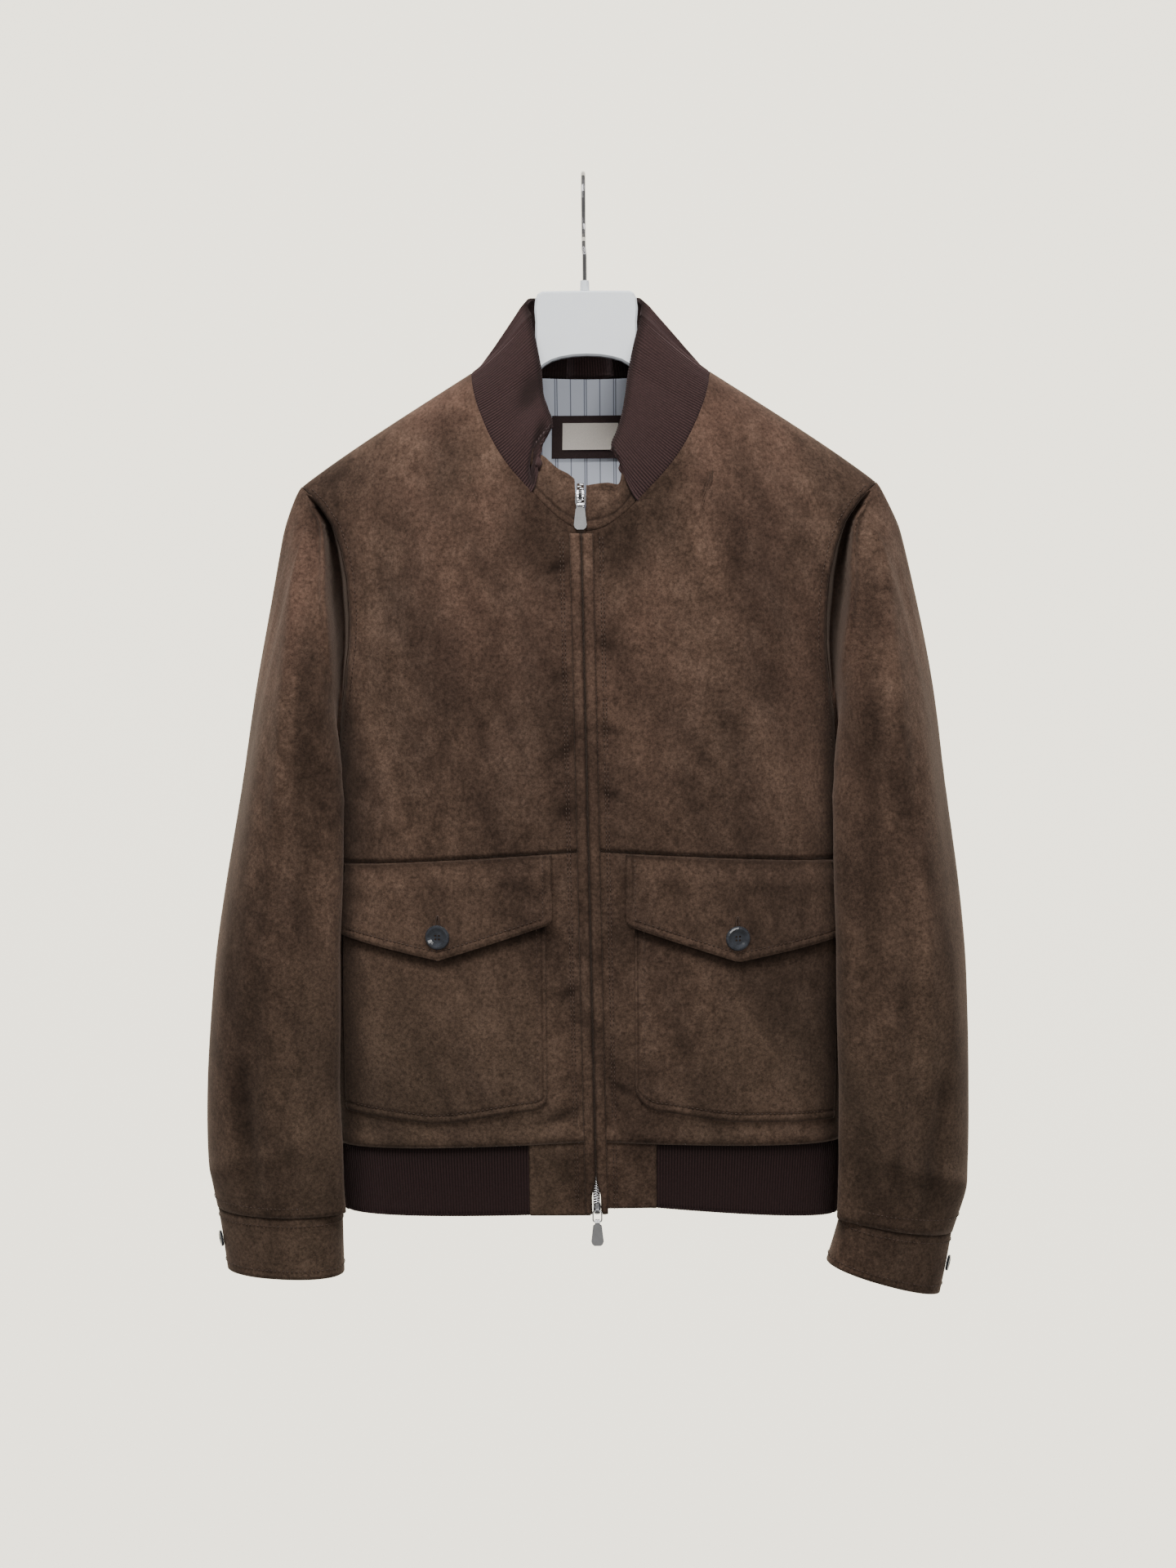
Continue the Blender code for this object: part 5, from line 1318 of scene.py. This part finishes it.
for side, label in ((rightSide, "right"), (leftSide, "left")):
    columns = dense([0.0, 0.02, 0.06, 0.15, 0.4, 0.7, 0.9, 1.0], 12)
    rows = dense([0.0, 0.2, 0.5, 0.8, 0.93, 1.0], 14)

    def edgeRoll(place, share, row, u, v, uLast, vLast):
        near = min(u, vLast * (1 - row))
        return -0.0008 * (1 - ease(near / 0.003)) - 0.0006 * exp(-((near - 0.0068) / 0.0011) ** 2)

    def pocketShadow(place, share, row, side=side):
        below = flapLowZ(side, abs(place.x - sway(place.z))) - place.z
        cast = 0.80 * (1 - ease(below / 0.012)) if below > -0.006 else 0.6
        return max(cast, sideShadow(place))

    piece = clothShell("pocket_cloth_" + label,
                       lambda share, row, side=side: patchAt(side, share, row, "pocket"),
                       columns, rows, suedeWall, suedeNap, relief=edgeRoll, shadow=pocketShadow)
    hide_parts("pocket_" + label)

    def flapRelief(place, share, row, u, v, uLast, vLast):
        return edgeRoll(place, share, row, u, v, uLast, vLast) + flapLift * ease((row - 0.45) / 0.55)

    def flapShadow(place, share, row):
        return max(0.55 * (1 - ease(row / 0.05)), 0.8 * sideShadow(place))

    piece = clothShell("flap_cloth_" + label,
                       lambda share, row, side=side: patchAt(side, share, row, "flap"),
                       columns, dense([0.0, 0.3, 0.6, 0.9, 1.0], 12), suedeWall * 1.6, suedeNap,
                       relief=flapRelief,
                       shadow=flapShadow)
    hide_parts("flap_" + label)
print("stage: pockets")


# back neck lining
def liningSurface(share, row):
    side = leftSide if share >= 0 else rightSide
    place = panelPoint(side, backFace, abs(share), row, waistZ)
    return body(place.x - sway(place.z), place.z, backFace, -(suedeWall + 0.0005))


liningHalf = [station / shoulderX for station in backStations[:5]]
piece = clothShell("lining_cloth", liningSurface,
                   dense([-share for share in reversed(liningHalf[1:])] + liningHalf, 6),
                   dense([1, 2, 3, 4, 5], 8), liningWall, liningStripe)
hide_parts("neck_lining")

for nodeName, finish in (("neck_patch", patchCloth), ("neck_label", labelCloth), ("zip_chain", zipTape),
                         ("hanger_plate", whitePlastic), ("hanger_boss", whitePlastic),
                         ("hanger_hook", wireMetal), ("slider_top", sliderMetal), ("link_top", chromeMetal),
                         ("tab_top", chromeMetal), ("slider_bottom", sliderMetal),
                         ("link_bottom", chromeMetal), ("tab_bottom", chromeMetal),
                         ("pocket_button_right", hornLook), ("pocket_button_left", hornLook),
                         ("cuff_button_right", hornLook), ("cuff_button_left", hornLook)):
    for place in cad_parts[nodeName].material_slots:
        place.material = finish
print("stage: hardware")

# sewing: short stitches along lines on the cloth
stitchLook = {"pitch": 0.0037, "length": 0.0027, "radius": 0.00034, "sides": 5}


def addStitches(name, lines, finish=threadBrown, look=stitchLook):
    shape = bmesh.new()
    for line in lines:
        travelled, due = 0.0, 0.0
        for (start, normal), (end, _) in zip(line, line[1:]):
            step = (end - start).length
            while due < travelled + step:
                along = (end - start).normalized()
                centre = start.lerp(end, (due - travelled) / step)
                aside = normal.cross(along).normalized()
                rings = []
                for share, sink, swell in ((-0.5, -0.00025, 0.5), (-0.22, 0.00022, 1.0), (0.22, 0.00022, 1.0),
                                           (0.5, -0.00025, 0.5)):
                    middle = centre + along * share * look["length"] + normal * sink
                    rings.append([shape.verts.new(middle + (aside * cos(turn) + normal * sin(turn))
                                                  * look["radius"] * swell)
                                  for turn in (2 * pi * n / look["sides"] for n in range(look["sides"]))])
                for low, high in zip(rings, rings[1:]):
                    for n in range(look["sides"]):
                        other = (n + 1) % look["sides"]
                        shape.faces.new((low[n], low[other], high[other], high[n]))
                shape.faces.new(rings[0][::-1])
                shape.faces.new(rings[-1])
                due += look["pitch"]
            travelled += step
    bmesh.ops.recalc_face_normals(shape, faces=shape.faces)
    mesh = meshFrom(name, shape)
    mesh.shade_smooth()
    return addPiece(name, mesh, finish)


def bodyLine(side, face, places, out):
    return [(body(side * x, z, face, out(side, x, z)), bodyNormal(side * x, z, face)) for x, z in places]


for side, label in ((rightSide, "right"), (leftSide, "left")):
    sizes = pocketSizes[side]
    inset = 0.0075
    flapX = sizes.flapInner + inset
    flapLow = flapLowZ(side, flapX) + inset
    flapPlaces = [(flapX, blend(waistZ(flapX) - 0.006, flapLow, n / 40)) for n in range(41)]
    flapRun = [blend(flapX, 0.197, n / 120) for n in range(121)]
    flapPlaces += [(x, flapLowZ(side, x) + inset) for x in flapRun]
    pocketX = sizes.inner + inset
    corner = sizes.corner
    lowStart = pocketLowZ(side, sizes.inner + corner) + inset
    pocketPlaces = [(pocketX, blend(flapLowZ(side, pocketX) + 0.006, lowStart + corner - inset, n / 80))
                    for n in range(81)]
    for n in range(1, 17):
        turn = pi / 2 * n / 16
        pocketPlaces.append((sizes.inner + corner - (corner - inset) * cos(turn),
                             lowStart + (corner - inset) * (1 - sin(turn))))
    pocketRun = [blend(sizes.inner + corner, 0.194, n / 120) for n in range(1, 121)]
    pocketPlaces += [(x, pocketLowZ(side, x) + inset) for x in pocketRun]

    def flapSewing(side, x, z):
        down = (waistZ(x) - z) / (waistZ(x) - flapLowZ(side, x))
        return flapOut(side, x, z) + flapLift * ease((down - 0.45) / 0.55) - 0.0002

    addStitches("flap_stitches_" + label, [bodyLine(side, frontFace, flapPlaces, flapSewing)])
    addStitches("pocket_stitches_" + label, [bodyLine(
        side, frontFace, pocketPlaces, lambda side, x, z: pocketOut(side, x, z) - 0.0003)])
    guardRun = [blend(guardTopZ - 0.004, guardLowZ + 0.004, n / 200) for n in range(201)]
    guardPlaces = [[(side * zipX(z) + run, z) for z in guardRun] for run in (0.0148, 0.0172)]
    addStitches("zip_stitches_" + label, [bodyLine(side, frontFace, places, lambda side, x, z: 0.0002)
                                          for places in guardPlaces])
    armLines = []
    for face in (frontFace, backFace):
        armLine = []
        for n in range(161):
            z = blend(shoulderZ(shoulderX) - 0.004, underarmZ + 0.006, n / 160)
            armLine.append((edgeX(z) - 0.0065, z))
        armLines.append(bodyLine(side, face, armLine, lambda side, x, z: 0.0002))
    addStitches("armhole_stitches_" + label, armLines)
    cuffLines = []
    for level in (0.13, 0.86):
        line = []
        for n in range(121):
            angle = 3 * n
            ring = rowAt(cuffRings[side], level)
            place = ringPoint(ring, side, angle, 0.0003)
            middle = ringPoint(ring, side, angle, -0.01)
            line.append((place, (place - middle).normalized()))
        cuffLines.append(line)
    sleeveLine = []
    for n in range(121):
        ring = rowAt(sleeveRings[side], 0.975)
        place = ringPoint(ring, side, 3 * n, 0.0004)
        sleeveLine.append((place, (place - ringPoint(ring, side, 3 * n, -0.01)).normalized()))
    addStitches("cuff_stitches_" + label, cuffLines + [sleeveLine])
    seat, normal = flapSeat(side)
    up = (body(side * sizes.buttonX, sizes.buttonZ + 0.004, frontFace)
          - body(side * sizes.buttonX, sizes.buttonZ, frontFace)).normalized()
    aside = normal.cross(up).normalized()
    rim = []
    for n in range(49):
        turn = 2 * pi * n / 48
        spot = seat + up * (0.0115 + 0.0062 * sin(turn)) + aside * 0.0012 * cos(turn) + normal * 0.0006
        rim.append((spot, normal))
    addStitches("buttonhole_" + label, [rim], threadBrown,
                {"pitch": 0.0007, "length": 0.0010, "radius": 0.0006, "sides": 5})
print("stage: sewing")


# zip teeth where the chain shows: above the top slider and round the lower one
toothLook = {"pitch": 0.0011, "wide": 0.0031, "tall": 0.00075, "deep": 0.0012}


def addTeeth(name, spots):
    shape = bmesh.new()
    for centre, side in spots:
        size = Vector((toothLook["wide"], toothLook["deep"], toothLook["tall"]))
        matrix = (Matrix.Translation(centre + Vector((side * 0.0009, -0.0008, 0)))
                  @ Matrix.Rotation(side * 0.16, 4, "Y") @ Matrix.Diagonal((*size, 1)))
        bmesh.ops.create_cube(shape, size=1, matrix=matrix)
    made = addPiece(name, meshFrom(name, shape), chromeMetal)
    rounded = made.modifiers.new("rounded", "BEVEL")
    rounded.width = 0.00018
    rounded.segments = 1
    return made


topRun = [chainPoint(0.0, 1 + (n + 0.5) / 30) for n in range(30)]
lowRun = [chainPoint(0.0, n * toothLook["pitch"] / (guardTopZ - 0.001 - chainLowZ)) for n in range(2, 30)]
addTeeth("zip_teeth_top", [(place, 1 if n % 2 else -1) for n, place in enumerate(topRun)])
addTeeth("zip_teeth_low", [(place, 1 if n % 2 else -1) for n, place in enumerate(lowRun)])
print("stage: zip")

# backdrop, lights and camera
backdropLook = {"y": 2.6, "z": -0.4, "half": 4.0, "colour": (0.86, 0.81, 0.68), "glow": 2.7}


def buildBackdrop():
    shape = bmesh.new()
    upright = Matrix.Translation((0, backdropLook["y"], backdropLook["z"])) @ Matrix.Rotation(pi / 2, 4, "X")
    bmesh.ops.create_grid(shape, x_segments=1, y_segments=1, size=backdropLook["half"], matrix=upright)
    mesh = meshFrom("backdrop", shape)
    made = bpy.data.objects.new("backdrop", mesh)
    bpy.context.scene.collection.objects.link(made)
    paint = plainMaterial("backdrop_paint", backdropLook["colour"], 0.9, spread=0.01)
    shader = paint.node_tree.nodes["Principled BSDF"]
    shader.inputs["Emission Color"].default_value = (*backdropLook["colour"], 1)
    shader.inputs["Emission Strength"].default_value = backdropLook["glow"]
    mesh.materials.append(paint)


buildBackdrop()


def addLight(name, place, target, size, power, colour):
    data = bpy.data.lights.new(name, "AREA")
    data.shape = "RECTANGLE"
    data.size, data.size_y = size
    data.energy = power
    data.color = colour
    made = bpy.data.objects.new(name, data)
    bpy.context.scene.collection.objects.link(made)
    made.location = place
    made.rotation_euler = (Vector(target) - Vector(place)).to_track_quat("-Z", "Y").to_euler()
    return made


addLight("key", (-0.40, -1.10, 1.45), (0, 0, -0.45), (1.3, 0.5), 50, (1.0, 0.97, 0.93))
addLight("top", (0.30, -0.65, 1.30), (0, 0, -0.5), (1.2, 0.4), 14, (1.0, 0.97, 0.94))
addLight("fill", (0.4, -2.7, -0.1), (0, 0, -0.6), (1.4, 0.9), 26, (1.0, 0.98, 0.95))
world = bpy.data.worlds.new("room")
bpy.context.scene.world = world
world.use_nodes = True
world.node_tree.nodes["Background"].inputs["Color"].default_value = (1.0, 0.97, 0.93, 1)
world.node_tree.nodes["Background"].inputs["Strength"].default_value = 0.26

# focal length as a share of the sensor, tip in degrees below the level
viewLook = {"sensor": 36, "focal": 2773 / 1920, "place": (0, -1.905, -0.330), "tip": 5.2, "roll": -0.00803}
lensData = bpy.data.cameras.new("view")
lensData.sensor_width = viewLook["sensor"]
lensData.lens = viewLook["sensor"] * viewLook["focal"]
camera = bpy.data.objects.new("view", lensData)
bpy.context.scene.collection.objects.link(camera)
camera.matrix_world = (Matrix.Translation(viewLook["place"])
                       @ Matrix.Rotation(radians(90 - viewLook["tip"]), 4, "X")
                       @ Matrix.Rotation(viewLook["roll"], 4, "Z"))
bpy.context.scene.camera = camera
